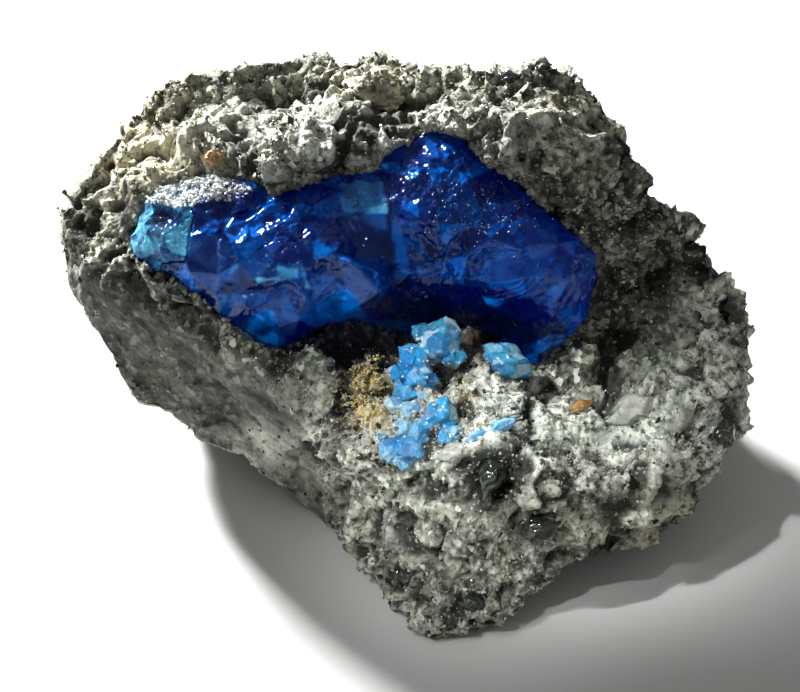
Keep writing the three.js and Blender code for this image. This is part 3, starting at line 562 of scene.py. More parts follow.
def patch(x: Array, y: Array, place: tuple[float, float], size: tuple[float, float]) -> Array:
    """A soft oval: e to the power of minus the squared distance from its middle, in its sizes."""
    return np.exp(-(((x - place[0]) / size[0]) ** 2) - ((y - place[1]) / size[1]) ** 2)


def ovals(x: Array, y: Array, spots: tuple[tuple[float, ...], ...]) -> Array:
    """The sum of soft ovals, each times its strength."""
    return sum(strength * patch(x, y, (px, py), (w, h)) for strength, px, py, w, h in spots)


# Meshes


class Face:
    """The show face's own millimetres, and where they are in the world."""

    @staticmethod
    def to_world(points: Array) -> Array:
        """Turns face points about X by the pitch, then moves them over the ground.

        Args:
            points: Face points in mm, (n, 3).

        Returns:
            World points in metres, (n, 3).
        """
        c, s = math.cos(FACE_PITCH), math.sin(FACE_PITCH)
        turned = points @ np.array([[1, 0, 0], [0, c, s], [0, -s, c]])
        return (turned + np.array([SHIFT[0], SHIFT[1], -GROUND])) * 0.001

    @staticmethod
    def from_world(points: Array) -> Array:
        """World points in metres back to face points in mm."""
        c, s = math.cos(FACE_PITCH), math.sin(FACE_PITCH)
        moved = points * 1000 - np.array([SHIFT[0], SHIFT[1], -GROUND])
        return moved @ np.array([[1, 0, 0], [0, c, -s], [0, s, c]])


def mesh_object(name: str, points: Array, faces: Array, smooth: bool = True) -> bpy.types.Object:
    """A mesh object from world points and faces.

    Args:
        name: The object's name.
        points: World points in metres, (n, 3).
        faces: Point indices, (m, 3) or (m, 4). A quad whose last two are equal is a triangle.
        smooth: Whether its faces are shaded smoothly.

    Returns:
        The linked object.
    """
    mesh = bpy.data.meshes.new(name)
    if faces.shape[1] == 4:
        split = np.concatenate([faces[:, [0, 1, 2]], faces[:, [0, 2, 3]]])
        keep = (split[:, 0] != split[:, 1]) & (split[:, 1] != split[:, 2])
        faces = split[keep & (split[:, 0] != split[:, 2])]
    count = len(faces)
    mesh.vertices.add(len(points))
    mesh.vertices.foreach_set("co", points.astype(np.float32).ravel())
    mesh.loops.add(3 * count)
    mesh.loops.foreach_set("vertex_index", faces.astype(np.int32).ravel())
    mesh.polygons.add(count)
    mesh.polygons.foreach_set("loop_start", np.arange(0, 3 * count, 3, dtype=np.int32))
    mesh.polygons.foreach_set("loop_total", np.full(count, 3, np.int32))
    mesh.polygons.foreach_set("use_smooth", np.full(count, smooth))
    mesh.update(calc_edges=True)
    mesh.validate()
    piece = bpy.data.objects.new(name, mesh)
    bpy.context.scene.collection.objects.link(piece)
    return piece


def store(piece: bpy.types.Object, name: str, values: Array) -> None:
    """Keeps one number per point as a named attribute that a material can read."""
    attribute = piece.data.attributes.new(name, "FLOAT", "POINT")
    attribute.data.foreach_set("value", values.astype(np.float32).ravel())


def points_of(piece: bpy.types.Object) -> Array:
    """The piece's points in metres, (n, 3)."""
    co = np.zeros(3 * len(piece.data.vertices), np.float32)
    piece.data.vertices.foreach_get("co", co)
    return co.reshape(-1, 3).astype(float)


def stored(piece: bpy.types.Object, name: str) -> Array:
    """The numbers that store kept under a name, (n,)."""
    values = np.zeros(len(piece.data.vertices), np.float32)
    piece.data.attributes[name].data.foreach_get("value", values)
    return values


def point_normals(points: Array, faces: Array) -> Array:
    """Unit normals at the points: the sum of the cross products of the triangles round each.

    Args:
        points: Points, (n, 3).
        faces: Triangles, (m, 3).

    Returns:
        Unit vectors, (n, 3).
    """
    a, b, c = (points[faces[:, k]] for k in range(3))
    cross = np.cross(b - a, c - a)
    total = np.stack(
        [
            sum(np.bincount(faces[:, k], cross[:, m], len(points)) for k in range(3))
            for m in range(3)
        ],
        -1,
    )
    return total / (np.linalg.norm(total, axis=1)[:, None] + 1e-12)


def triangles_of(quads: Array) -> Array:
    """Two triangles for each quad, (m, 4) to (2m, 3)."""
    return np.concatenate([quads[:, [0, 1, 2]], quads[:, [0, 2, 3]]])


# The rock


@dataclass(frozen=True)
class Sheet:
    """A smooth surface z(x, y) through points: a sum of softened cones, one at each point."""

    points: Array
    weights: Array

    @classmethod
    def through(cls, points: list[Place]) -> "Sheet":
        """Finds each cone's weight, so that the sum passes through every point."""
        p = np.array(points)
        return cls(p, np.linalg.solve(cls.reach(p[:, 0], p[:, 1], p), p[:, 2]))

    @staticmethod
    def reach(x: Array, y: Array, points: Array) -> Array:
        """A cone's height: the root of the squared distance plus the squared softening."""
        dx = x[:, None] - points[None, :, 0]
        dy = y[:, None] - points[None, :, 1]
        return np.sqrt(dx**2 + dy**2 + SOFTENING**2)

    def height(self, x: Array, y: Array) -> Array:
        """The surface's z at x and y."""
        return self.reach(x, y, self.points) @ self.weights


@dataclass(frozen=True)
class Skyline:
    """The skyline as distance and depth on each ray from the face's centre."""

    angles: Array
    reaches: Array
    depths: Array

    @classmethod
    def of(cls, points: tuple[Place, ...]) -> "Skyline":
        """Sorts the points by the angle of their rays."""
        p = np.array(points)
        dx, dy = p[:, 0] - FACE_CENTRE[0], p[:, 1] - FACE_CENTRE[1]
        order = np.argsort(np.arctan2(dy, dx))
        return cls(np.arctan2(dy, dx)[order], np.hypot(dx, dy)[order], p[order, 2])

    def at(self, angle: Array) -> tuple[Array, Array]:
        """Distance and depth on any ray, straight between the points."""
        turn = 2 * math.pi
        return (
            np.interp(angle, self.angles, self.reaches, period=turn),
            np.interp(angle, self.angles, self.depths, period=turn),
        )


def on_flank(x: Array, y: Array) -> Array:
    """How far a place is on the worn flank, left of the foot and below the seat's lip.

    The distances in from two straight lines are worked out, and the smaller one is carried to
    0 at the line and 1 at the flank's width.

    Args:
        x: Places across, (n,).
        y: Places up, (n,).

    Returns:
        Shares from 0 to 1, (n,).
    """
    below_lip = -0.517 * (x + 2.2) - 0.856 * (y + 1.2)
    left_of_foot = -0.971 * (x + 2.2) - 0.237 * (y + 1.2)
    return smoothstep(np.minimum(below_lip, left_of_foot), 0, FLANK_WIDTH)


class Side(Enum):
    """The two sheets of the rock, and which way each faces."""

    FRONT = 1
    BACK = -1


@dataclass
class RockBlock:
    """The block of volcanic rock, one closed surface.

    Its surface is two grids, front and back, joined round the skyline by rings. A grid's square
    maps to a disc, and the disc's rays stretch to the skyline. The back grid has half the cells
    each way, and fans of triangles join it to the last ring.
    """

    across: int = 288
    up: int = 240
    rings: tuple[float, ...] = (0.45, -0.2, -0.75)
    skyline: Skyline = field(default_factory=lambda: Skyline.of(SKYLINE))
    edge_share: float = 0.25
    flank_wear: float = 0.72
    pit_depth: float = 0.32
    seat_floor: float = -1.6
    seat_wall: float = 0.2
    pale_and_painted_light_below: float = 0.36

    def sheet(self, side: Side) -> Sheet:
        """The broad surface of one side, through its points and the skyline."""
        edge = [(x, y, z + side.value * EDGE_HALF) for x, y, z in SKYLINE]
        inner = [p for part in FRONT.values() for p in part] if side is Side.FRONT else BACK
        return Sheet.through([*inner, *edge])

    def on_disc(self, a: Array, b: Array) -> tuple[Array, Array, Array]:
        """Face places for places of the square.

        The square's (a, b) goes to the disc's (a root(1 - b^2/2), b root(1 - a^2/2)), which is
        stretched by the skyline's distance on its ray.

        Args:
            a: From -1 to 1 across.
            b: From -1 to 1 up.

        Returns:
            x, y, and the skyline's depth on the ray.
        """
        dx, dy = a * np.sqrt(1 - b * b / 2), b * np.sqrt(1 - a * a / 2)
        reach, depth = self.skyline.at(np.arctan2(dy, dx))
        return FACE_CENTRE[0] + dx * reach, FACE_CENTRE[1] + dy * reach, depth

    def grid(self, side: Side, across: int, up: int) -> tuple[Array, Array, Array]:
        """One side's points, quads and distances in from the edge.

        Args:
            side: Front or back.
            across: Cells across.
            up: Cells up.

        Returns:
            Points (n, 3), quads facing out (m, 4), and distances from 0 at the edge to 1, (n,).
        """
        b, a = (
            g.ravel()
            for g in np.meshgrid(
                np.linspace(-1, 1, up + 1), np.linspace(-1, 1, across + 1), indexing="ij"
            )
        )
        x, y, depth = self.on_disc(a, b)
        inside = 1 - np.maximum(abs(a), abs(b))
        z = np.where(
            inside > 1e-9, self.sheet(side).height(x, y), depth + side.value * EDGE_HALF
        )
        n = np.arange(up)[:, None] * (across + 1) + np.arange(across)[None, :]
        quads = np.stack([n, n + 1, n + across + 2, n + across + 1], -1).reshape(-1, 4)
        return np.stack([x, y, z], -1), quads if side is Side.FRONT else quads[:, ::-1], inside

    @staticmethod
    def border(across: int, up: int) -> Array:
        """The grid's outermost points in order round it, anticlockwise seen from the front."""
        row = across + 1
        return np.concatenate(
            [
                np.arange(across),
                np.arange(up) * row + across,
                up * row + np.arange(across, 0, -1),
                np.arange(up, 0, -1) * row,
            ]
        )

    def broad(self) -> tuple[Array, Array, Array]:
        """The whole broad form: points, triangles, and distances in from the edge."""
        front, front_quads, inside = self.grid(Side.FRONT, self.across, self.up)
        back, back_quads, back_inside = self.grid(Side.BACK, self.across // 2, self.up // 2)
        fine = self.border(self.across, self.up)
        coarse = self.border(self.across // 2, self.up // 2)
        edge = front[fine]
        middle = edge[:, 2] - EDGE_HALF
        loops = [fine]
        layers = [front]
        start = len(front)
        for level in self.rings:
            layers.append(np.column_stack([edge[:, :2], middle + level * EDGE_HALF]))
            loops.append(start + np.arange(len(fine)))
            start += len(fine)
        layers.append(back)
        walls = [
            np.stack([low, np.roll(low, -1), np.roll(high, -1), high], -1)
            for high, low in zip(loops, loops[1:])
        ]
        last, rim = loops[-1], start + coarse
        even, odd, following = last[::2], last[1::2], np.roll(last, -2)[::2]
        rim_next = np.roll(rim, -1)
        fans = np.concatenate(
            [
                np.stack([even, rim, odd], -1),
                np.stack([odd, rim, rim_next], -1),
                np.stack([odd, rim_next, following], -1),
            ]
        )
        triangles = np.concatenate(
            [
                triangles_of(front_quads),
                *[triangles_of(w) for w in walls],
                fans,
                triangles_of(back_quads + start),
            ]
        )
        inner = np.concatenate(
            [inside, np.zeros(len(self.rings) * len(fine)), back_inside]
        )
        return np.concatenate(layers), triangles, inner

    def relief(self, p: Array, inside: Array) -> tuple[Array, Array]:
        """How far each place stands out of the broad form.

        Broad tilted flats and lumps as in the model's source, then finer breaks, grains and
        pits. The flank is worn, so all but the finest are lower there.

        Args:
            p: Face points on the broad form, (n, 3).
            inside: Distances in from the edge, (n,).

        Returns:
            The whole relief and its fine part, in mm, (n,) each.
        """
        x, y = p[:, 0], p[:, 1]
        flank = on_flank(x, y)
        near_edge = 1 - smoothstep(inside, 0, self.edge_share)
        share = (1 - flank * (1 - FLANK_CALM)) * (1 - near_edge * (1 - EDGE_CALM))
        broad = FLAT_TILT * flats(p, FLAT_SIZE, 11, 0.05) + LUMP_HEIGHT * lumps(p, LUMP_SIZE, 5)
        bent = p + 0.12 * np.stack([lumps(p, 0.5, 60 + m) for m in range(3)], -1)
        fine = 0.30 * flats(bent, 0.85, 31, 0.03) + 0.14 * lumps(p, 0.6, 41)
        fine += 0.17 * flats(bent, 0.36, 51, 0.03)
        fine += 0.07 * (granules(bent, 0.26, 71) - 0.5)
        pits = smoothstep(lumps(p, 0.75, 81) + 0.3 * lumps(p, 0.3, 82), 0.42, 0.62)
        fine -= self.pit_depth * pits
        fine *= 1 - self.flank_wear * flank
        fine -= ovals(x, y, HOLLOWS)
        fine -= ovals(x, y, SMALL_HOLLOWS)
        fine += 0.02 * lumps(p, 0.16, 91)
        return share * broad + fine, fine

    def build(self) -> bpy.types.Object:
        """The rock's mesh, with the seat of the blue crystal sunk in it."""
        p, triangles, inside = self.broad()
        out, fine = self.relief(p, inside)
        normals = point_normals(p, triangles)
        p = p + out[:, None] * normals
        front = np.arange(len(p)) < (self.across + 1) * (self.up + 1)
        depth = np.where(front, inset(p[:, 0], p[:, 1], RIM_PLAN), -1)
        depth += 0.09 * lumps(p, 0.55, 96) + 0.07 * lumps(p, 0.22, 97)
        floor = self.seat_floor + 0.15 * lumps(p, 0.5, 95)
        p[:, 2] -= smoothstep(depth, 0.0, self.seat_wall) * np.maximum(0, p[:, 2] - floor)
        world = Face.to_world(p)
        world[:, 2] = np.maximum(world[:, 2], 0)
        piece = mesh_object("rock_block", world, triangles)
        self.paint(piece, p, fine, normals[:, 2], front)
        return piece

    def paint(
        self, piece: bpy.types.Object, p: Array, fine: Array, facing: Array, front: Array
    ) -> None:
        """Stores where the rock is tan, pale, brownish or worn, and where light and shade are
        painted, mostly as soft ovals at named places.

        Args:
            piece: The rock's object.
            p: Its face points, (n, 3).
            fine: Its fine relief, (n,).
            facing: How far each point of the broad form faces out of the show face, (n,).
            front: Whether each point is on the front grid, (n,).
        """
        x, y = p[:, 0], p[:, 1]
        flank = on_flank(x, y)
        paint = {kind: ovals(x, y, spots) for kind, spots in ROCK_SPOTS.items()}
        # The lower front, off the flank, is paler: partly its own colour and partly painted light
        # where the shelf, the ledge and the nose are lit
        lower = smoothstep(-y, 0.2, 2.2) * (1 - flank)
        paint["pale"] = paint["pale"] + self.pale_and_painted_light_below * lower
        paint["worn"] = flank
        deep = tinted(Tint.DEEP, x, y, (-0.2, 0.2))
        seat = smoothstep(inset(x, y, RIM_PLAN), 0.15, 0.3)
        paint["seat"], paint["seat_dark"] = seat * (1 - deep), seat * deep
        behind = {"tan": 0.3 + 0.3 * lumps(p, 2.5, 7), "pale": 0.15 + 0.2 * lumps(p, 2.0, 8)}
        for kind, values in paint.items():
            store(piece, kind, np.where(front, values, behind.get(kind, 0)))
        # Painted shade: how far each point faces away from the show face, for darkening the back
        store(piece, "behind", smoothstep(-facing, -0.1, 0.25))
        # The fine relief, which the finish reads to paint shade in low places
        store(piece, "relief", 0.5 + 2.6 * fine)


# Crystals


def edge_distance(x: Array, y: Array, line: Array, closed: bool) -> Array:
    """The distance to the nearest part of a line of straight pieces.

    Args:
        x: Places across, (n,).
        y: Places up, (n,).
        line: The line's corners, (m, 2).
        closed: Whether the last corner joins the first.

    Returns:
        Distances, (n,).
    """
    best = np.full(len(x), np.inf)
    ends = np.roll(line, -1, 0) if closed else line[1:]
    for (ax, ay), (bx, by) in zip(line, ends):
        dx, dy = bx - ax, by - ay
        t = np.clip(((x - ax) * dx + (y - ay) * dy) / (dx * dx + dy * dy), 0, 1)
        best = np.minimum(best, np.hypot(x - ax - t * dx, y - ay - t * dy))
    return best


def inside_polygon(x: Array, y: Array, corners: Array) -> Array:
    """Whether places are in a polygon: a ray to the right crosses its sides an odd number of times.

    Args:
        x: Places across, (n,).
        y: Places up, (n,).
        corners: The polygon's corners, (m, 2).

    Returns:
        True inside, (n,).
    """
    crossed = np.zeros(len(x), bool)
    for (ax, ay), (bx, by) in zip(corners, np.roll(corners, -1, 0)):
        spans = (ay > y) != (by > y)
        crossed ^= spans & (x < (bx - ax) * (y - ay) / (by - ay + 1e-12) + ax)
    return crossed


def inset(x: Array, y: Array, corners: Array) -> Array:
    """How far places lie inside a polygon, negative outside."""
    return np.where(inside_polygon(x, y, corners), 1, -1) * edge_distance(x, y, corners, True)


def tinted(
    kind: Tint, x: Array, y: Array, fade: tuple[float, float], ragged: Array | float = 0.0
) -> Array:
    """How strong a tint is at places: the strongest of its polygons, each with a soft edge.

    Args:
        kind: The tint.
        x: Places across, (n,).
        y: Places up, (n,).
        fade: How far inside a polygon it starts and is whole, in mm.
        ragged: What is added to the distances inside, to make the edges uneven.

    Returns:
        Strengths from 0 to 1, (n,).
    """
    strongest = np.zeros(len(x))
    for strength, corners in TINTS[kind]:
        soft = smoothstep(inset(x, y, np.array(corners)) + ragged, *fade)
        strongest = np.maximum(strongest, strength * soft)
    return strongest


@dataclass(frozen=True)
class FacetNet:
    """The crystal's broken face as flat triangles between named corners."""

    corners: Array
    triangles: Array

    @classmethod
    def of(cls) -> "FacetNet":
        """Joins the rim and the facets' corners by the roundest triangles that keep the creases."""
        rim = len(CRYSTAL_RIM)
        points = np.array([*CRYSTAL_RIM, *[p for part in FACET_CORNERS.values() for p in part]])
        edges = [(n, (n + 1) % rim) for n in range(rim)]
        for crease in CREASES:
            at = [int(np.hypot(*(points[:, :2] - place).T).argmin()) for place in crease]
            edges += list(zip(at, at[1:]))
        flat = [Vector(p[:2]) for p in points]
        placed, _, faces, origin, *_ = delaunay_2d_cdt(flat, edges, [], 1, 1e-6)
        heights = [points[o[0], 2] if o else 0.0 for o in origin]
        plan = np.array([tuple(v) for v in placed])
        return cls(np.column_stack([plan, heights]), np.array(faces))

    def at(self, x: Array, y: Array) -> tuple[Array, Array]:
        """The height at places, from each triangle's own plane, and the triangle's number.

        Args:
            x: Places across, (n,).
            y: Places up, (n,).

        Returns:
            z, and the number of the triangle, -1 outside, (n,) each.
        """
        z, facet = np.full(len(x), -1.0), np.full(len(x), -1)
        for number, (a, b, c) in enumerate(self.corners[self.triangles]):
            area = (b[0] - a[0]) * (c[1] - a[1]) - (b[1] - a[1]) * (c[0] - a[0])
            s = ((x - a[0]) * (c[1] - a[1]) - (y - a[1]) * (c[0] - a[0])) / area
            t = ((b[0] - a[0]) * (y - a[1]) - (b[1] - a[1]) * (x - a[0])) / area
            here = (s >= -1e-9) & (t >= -1e-9) & (s + t <= 1 + 1e-9)
            z = np.where(here, a[2] + s * (b[2] - a[2]) + t * (c[2] - a[2]), z)
            facet = np.where(here, number, facet)
        return z, facet


class Part(Enum):
    """The two parts of the blue crystal, each left or right of the split."""

    DEEP = "deep"
    PALE = "pale"


@dataclass
class BrokenCrystal:
    """One part of the blue crystal: a fine height grid over its facets, closed by a flat base.

    Walls run down round the cells to the base, which lies inside the rock.
    """

    name: str
    part: Part
    net: FacetNet
    cell: float = 0.035
    base: float = -1.95

    def detail(self, x: Array, y: Array, facet: Array, spark: Array) -> Array:
        """What a break adds to the flat facets.

        Smaller flat chips, whose steps are sharp, finer ones where it sparkles, and rings round
        a far centre of each facet's own, whose height is a sine of the distance.

        Args:
            x: Places across.
            y: Places up.
            facet: Each place's facet number.
            spark: How much each place sparkles.

        Returns:
            Heights in mm.
        """
        p = np.column_stack([x, y, 0 * x])
        own = np.stack([facet, facet * 0 + 3, facet * 0 + 7], -1)
        bent = p + 0.2 * np.stack([lumps(p, 0.7, 110 + m) for m in range(3)], -1)
        chipped = smoothstep(lumps(p, 1.3, 118), -0.25, 0.35)
        rise = (0.03 + 0.09 * chipped) * flats(bent, 0.62, 120, 0.012)
        rise += (0.015 + 0.05 * chipped) * flats(bent, 0.27, 130, 0.012)
        turn = 2 * math.pi * cell_number(own, 1)
        far = 1.0 + 2.5 * cell_number(own, 2)
        distance = np.hypot(x + 0.5 - far * np.cos(turn), y - 2 - far * np.sin(turn))
        width = 0.12 + 0.14 * cell_number(own, 3)
        strength = smoothstep(lumps(p, 0.9, 140), -0.1, 0.5)
        rise += 0.006 * strength * np.sin(distance * 2 * math.pi / width)
        shell = np.hypot(bent[:, 0] - 2.55, (bent[:, 1] - 1.7) * 1.2) + 0.08 * lumps(p, 0.8, 145)
        arcs = smoothstep(1.15 - shell, 0, 0.25) * smoothstep(shell, 0.3, 0.6)
        rise += 0.016 * arcs * np.sin(shell * 2 * math.pi / 0.17)
        return rise + spark * 0.05 * flats(bent, 0.13, 150, 0.02)

    def build(self) -> bpy.types.Object:
        """The part's mesh, with its tints as attributes."""
        low, high = RIM_PLAN.min(0) - 0.1, RIM_PLAN.max(0) + 0.1
        across, up = np.ceil((high - low) / self.cell).astype(int)
        gy, gx = np.meshgrid(np.arange(up + 1), np.arange(across + 1), indexing="ij")
        x, y = low[0] + gx.ravel() * self.cell, low[1] + gy.ravel() * self.cell
        flat = np.column_stack([x, y, 0 * x])
        sway = [
            0.045 * lumps(flat, 0.35, 170 + m) + 0.02 * lumps(flat, 0.12, 172 + m)
            for m in range(2)
        ]
        z, facet = self.net.at(x + sway[0], y + sway[1])
        split = np.array(PALE_SPLIT)
        beside = np.interp(y, split[::-1, 1], split[::-1, 0])
        mine = x <= beside if self.part is Part.PALE else x > beside
        inside = (facet >= 0) & mine
        ragged = 0.05 * lumps(flat, 0.25, 160)
        tints = {kind.value: tinted(kind, x, y, (-0.03, 0.05), ragged) for kind in Tint}
        z = z + self.detail(x, y, facet, tints[Tint.SPARK.value])
        for line, drop in LIT_STEPS:
            z = z - self.step(x, y, np.array(line), drop)
        row = across + 1
        n = (np.arange(up)[:, None] * row + np.arange(across)[None, :]).ravel()
        corners = np.stack([n, n + 1, n + row + 1, n + row], -1)
        corners = corners[inside[corners].all(1)]
        used = np.unique(corners)
        number = np.full(len(x), -1)
        number[used] = np.arange(len(used))
        quads = number[corners]
        count = len(used)
        upper = np.column_stack([x, y, z])[used]
        lower = np.column_stack([x, y, np.full(len(x), self.base)])[used]
        edges = np.stack([quads, np.roll(quads, -1, 1)], -1).reshape(-1, 2)
        key = edges[:, 0] * count + edges[:, 1]
        lone = edges[~np.isin(key, edges[:, 1] * count + edges[:, 0])]
        walls = np.stack([lone[:, 1], lone[:, 0], lone[:, 0] + count, lone[:, 1] + count], -1)
        faces = np.concatenate([quads, quads[:, ::-1] + count, walls])
        piece = mesh_object(self.name, Face.to_world(np.concatenate([upper, lower])), faces)
        own = cell_number(np.stack([facet, facet * 0, facet * 0], -1), 9)
        chip = cell_number(np.floor(flat / 0.5 + 0.35 * lumps(flat, 0.4, 175)[:, None]), 8)
        tints["shade"] = 0.65 * own + 0.35 * chip
        for name, values in tints.items():
            store(piece, name, np.tile(values[used], 2))
        return piece

    @staticmethod
    def step(x: Array, y: Array, line: Array, drop: float) -> Array:
        """A rounded step: the side above the line is lower near it, and rises back further out.

        The drop follows the distance above the line: it grows over the first 0.13 mm, and fades
        from 0.15 to 0.6 mm.

        Args:
            x: Places across.
            y: Places up.
            line: The step's line, from left to right.
            drop: Its depth.

        Returns:
            How much each place goes down.
        """
        best, above = np.full(len(x), np.inf), np.zeros(len(x))
        for (ax, ay), (bx, by) in zip(line, line[1:]):
            dx, dy = bx - ax, by - ay
            length = math.hypot(dx, dy)
            t = np.clip(((x - ax) * dx + (y - ay) * dy) / length**2, 0, 1)
            distance = np.hypot(x - ax - t * dx, y - ay - t * dy)
            side = ((y - ay) * dx - (x - ax) * dy) / length
            closer = distance < best
            above = np.where(closer, side, above)
            best = np.where(closer, distance, best)
        ends = np.exp(-((np.maximum(best - abs(above), 0) / 0.08) ** 2))
        return drop * ends * smoothstep(above, -0.03, 0.13) * (1 - smoothstep(above, 0.15, 0.6))


def turned(turn: Place) -> Array:
    """The matrix that turns about Z, then Y, then X, by angles in degrees."""
    ax, ay, az = (math.radians(v) for v in turn)
    spin = [Matrix.Rotation(ax, 3, "X"), Matrix.Rotation(ay, 3, "Y"), Matrix.Rotation(az, 3, "Z")]
    return np.array(spin[0] @ spin[1] @ spin[2])


@dataclass(frozen=True)
class SmallCrystal:
    """A small crystal of twelve rhombic faces, fitted to half sizes and turned.

    On each ray from its middle, the surface is at the power mean of the distances to its planes,
    so that edges are slightly rounded, with chips on it.
    """

    at: Place
    half: Place
    turn: Place
    worn: float = 0.10
    sharp: float = 18.0

    def surface(self, across: int = 56, up: int = 32) -> tuple[Array, Array]:
        """The crystal's points and quads.

        Args:
            across: Cells round it.
            up: Cells from pole to pole.

        Returns:
            Face points (n, 3), and quads facing out (m, 4).
        """
        v, u = (
            g.ravel()
            for g in np.meshgrid(
                np.linspace(0, math.pi, up + 1)[1:-1],
                np.arange(across) * 2 * math.pi / across,
                indexing="ij",
            )
        )
        rays = np.stack([np.sin(v) * np.cos(u), np.sin(v) * np.sin(u), np.cos(v)], -1)
        rays = np.concatenate([rays, [[0, 0, 1], [0, 0, -1]]])
        signs = np.array(list(itertools.product((-1, 1), repeat=2)))
        planes = np.concatenate([np.insert(signs, k, 0, axis=1) for k in range(3)])
        reach = np.maximum(rays @ planes.T, 1e-6) ** self.sharp
        radius = reach.sum(1) ** (-1 / self.sharp)
        salt = int(1000 * abs(self.at[0]) + 37 * abs(self.at[1]) * 10)
        radius *= 1 + self.worn * (flats(rays, 0.9, salt, 0.03) + 0.4 * lumps(rays, 0.35, salt + 9))
        p = rays * radius[:, None] * np.array(self.half)
        p = p @ turned(self.turn).T + np.array(self.at)
        rows = up - 1
        n = np.arange(rows - 1)[:, None] * across + np.arange(across)[None, :]
        m = np.arange(rows - 1)[:, None] * across + (np.arange(across)[None, :] + 1) % across
        body = np.stack([n, n + across, m + across, m], -1).reshape(-1, 4)
        first, following = np.arange(across), (np.arange(across) + 1) % across
        top, bottom = rows * across, rows * across + 1
        low = (rows - 1) * across
        caps = [
            np.stack([first * 0 + top, first, following, following], -1),
            np.stack([first * 0 + bottom, low + following, low + first, low + first], -1),
        ]
        return p, np.concatenate([body, *caps])


def crystal_piece(name: str, crystals: list[SmallCrystal]) -> bpy.types.Object:
    """One piece of several small crystals grown together.

    Args:
        name: The piece's name.
        crystals: The crystals in it.

    Returns:
        The object.
    """
    points, faces, start = [], [], 0
    for crystal in crystals:
        p, quads = crystal.surface()
        points.append(p)
        faces.append(quads + start)
        start += len(p)
    return mesh_object(name, Face.to_world(np.concatenate(points)), np.concatenate(faces))


# Grains


@dataclass(frozen=True)
class Grains:
    """Many small grains on a piece, each an icosahedron with its corners pushed about.

    A grain is set at a random point of the piece's mesh, sunk by part of its size.
    """

    name: str
    count: int
    size: tuple[float, float]
    seed: int
    sunk: float = 0.45
    long: float = 1.0
    lowest: float = 0.0002

    def build(self, host: bpy.types.Object, wanted: Array) -> bpy.types.Object:
        """The grains' mesh.

        Args:
            host: The piece that the grains sit on.
            wanted: For each of its points, how much a grain there is wanted.

        Returns:
            The object.
        """
        rng = np.random.default_rng(self.seed)
        co = points_of(host)
        normal = np.zeros(3 * len(co), np.float32)
        host.data.vertex_normals.foreach_get("vector", normal)
        normal = normal.reshape(-1, 3).astype(float)
        share = np.maximum(wanted, 0) * (co[:, 2] > self.lowest)
        at = rng.choice(len(co), self.count, p=share / share.sum())
        g = (1 + 5**0.5) / 2
        shape = np.array(
            [
                (-1, g, 0), (1, g, 0), (-1, -g, 0), (1, -g, 0), (0, -1, g), (0, 1, g),
                (0, -1, -g), (0, 1, -g), (g, 0, -1), (g, 0, 1), (-g, 0, -1), (-g, 0, 1),
            ]
        ) / math.hypot(1, g)
        sides = np.array(
            [
                (0, 11, 5), (0, 5, 1), (0, 1, 7), (0, 7, 10), (0, 10, 11), (1, 5, 9),
                (5, 11, 4), (11, 10, 2), (10, 7, 6), (7, 1, 8), (3, 9, 4), (3, 4, 2),
                (3, 2, 6), (3, 6, 8), (3, 8, 9), (4, 9, 5), (2, 4, 11), (6, 2, 10),
                (8, 6, 7), (9, 8, 1),
            ]
        )
        size = self.size[0] * (self.size[1] / self.size[0]) ** (rng.random(self.count) ** 1.6)
        spin = np.linalg.qr(rng.normal(size=(self.count, 3, 3)))[0]
        spin *= np.sign(np.linalg.det(spin))[:, None, None]
        stretch = rng.uniform(0.6, 1.25, (self.count, 1, 3)) * np.array([self.long, 1, 1])
        corners = shape[None] * rng.uniform(0.5, 1.2, (self.count, len(shape), 1)) * stretch
        half = size * HALF_MM
        corners = np.einsum("nij,nkj->nki", spin, corners) * half[:, None, None]
        middle = co[at] + normal[at] * (half * (1 - 2 * self.sunk))[:, None]
        points = (corners + middle[:, None]).reshape(-1, 3)
        points[:, 2] = np.maximum(points[:, 2], 0)
        faces = (sides[None] + len(shape) * np.arange(self.count)[:, None, None]).reshape(-1, 3)
        piece = mesh_object(self.name, points, faces, smooth=False)
        store(piece, "own", np.repeat(rng.random(self.count), len(shape)))
        return piece


# Finishes


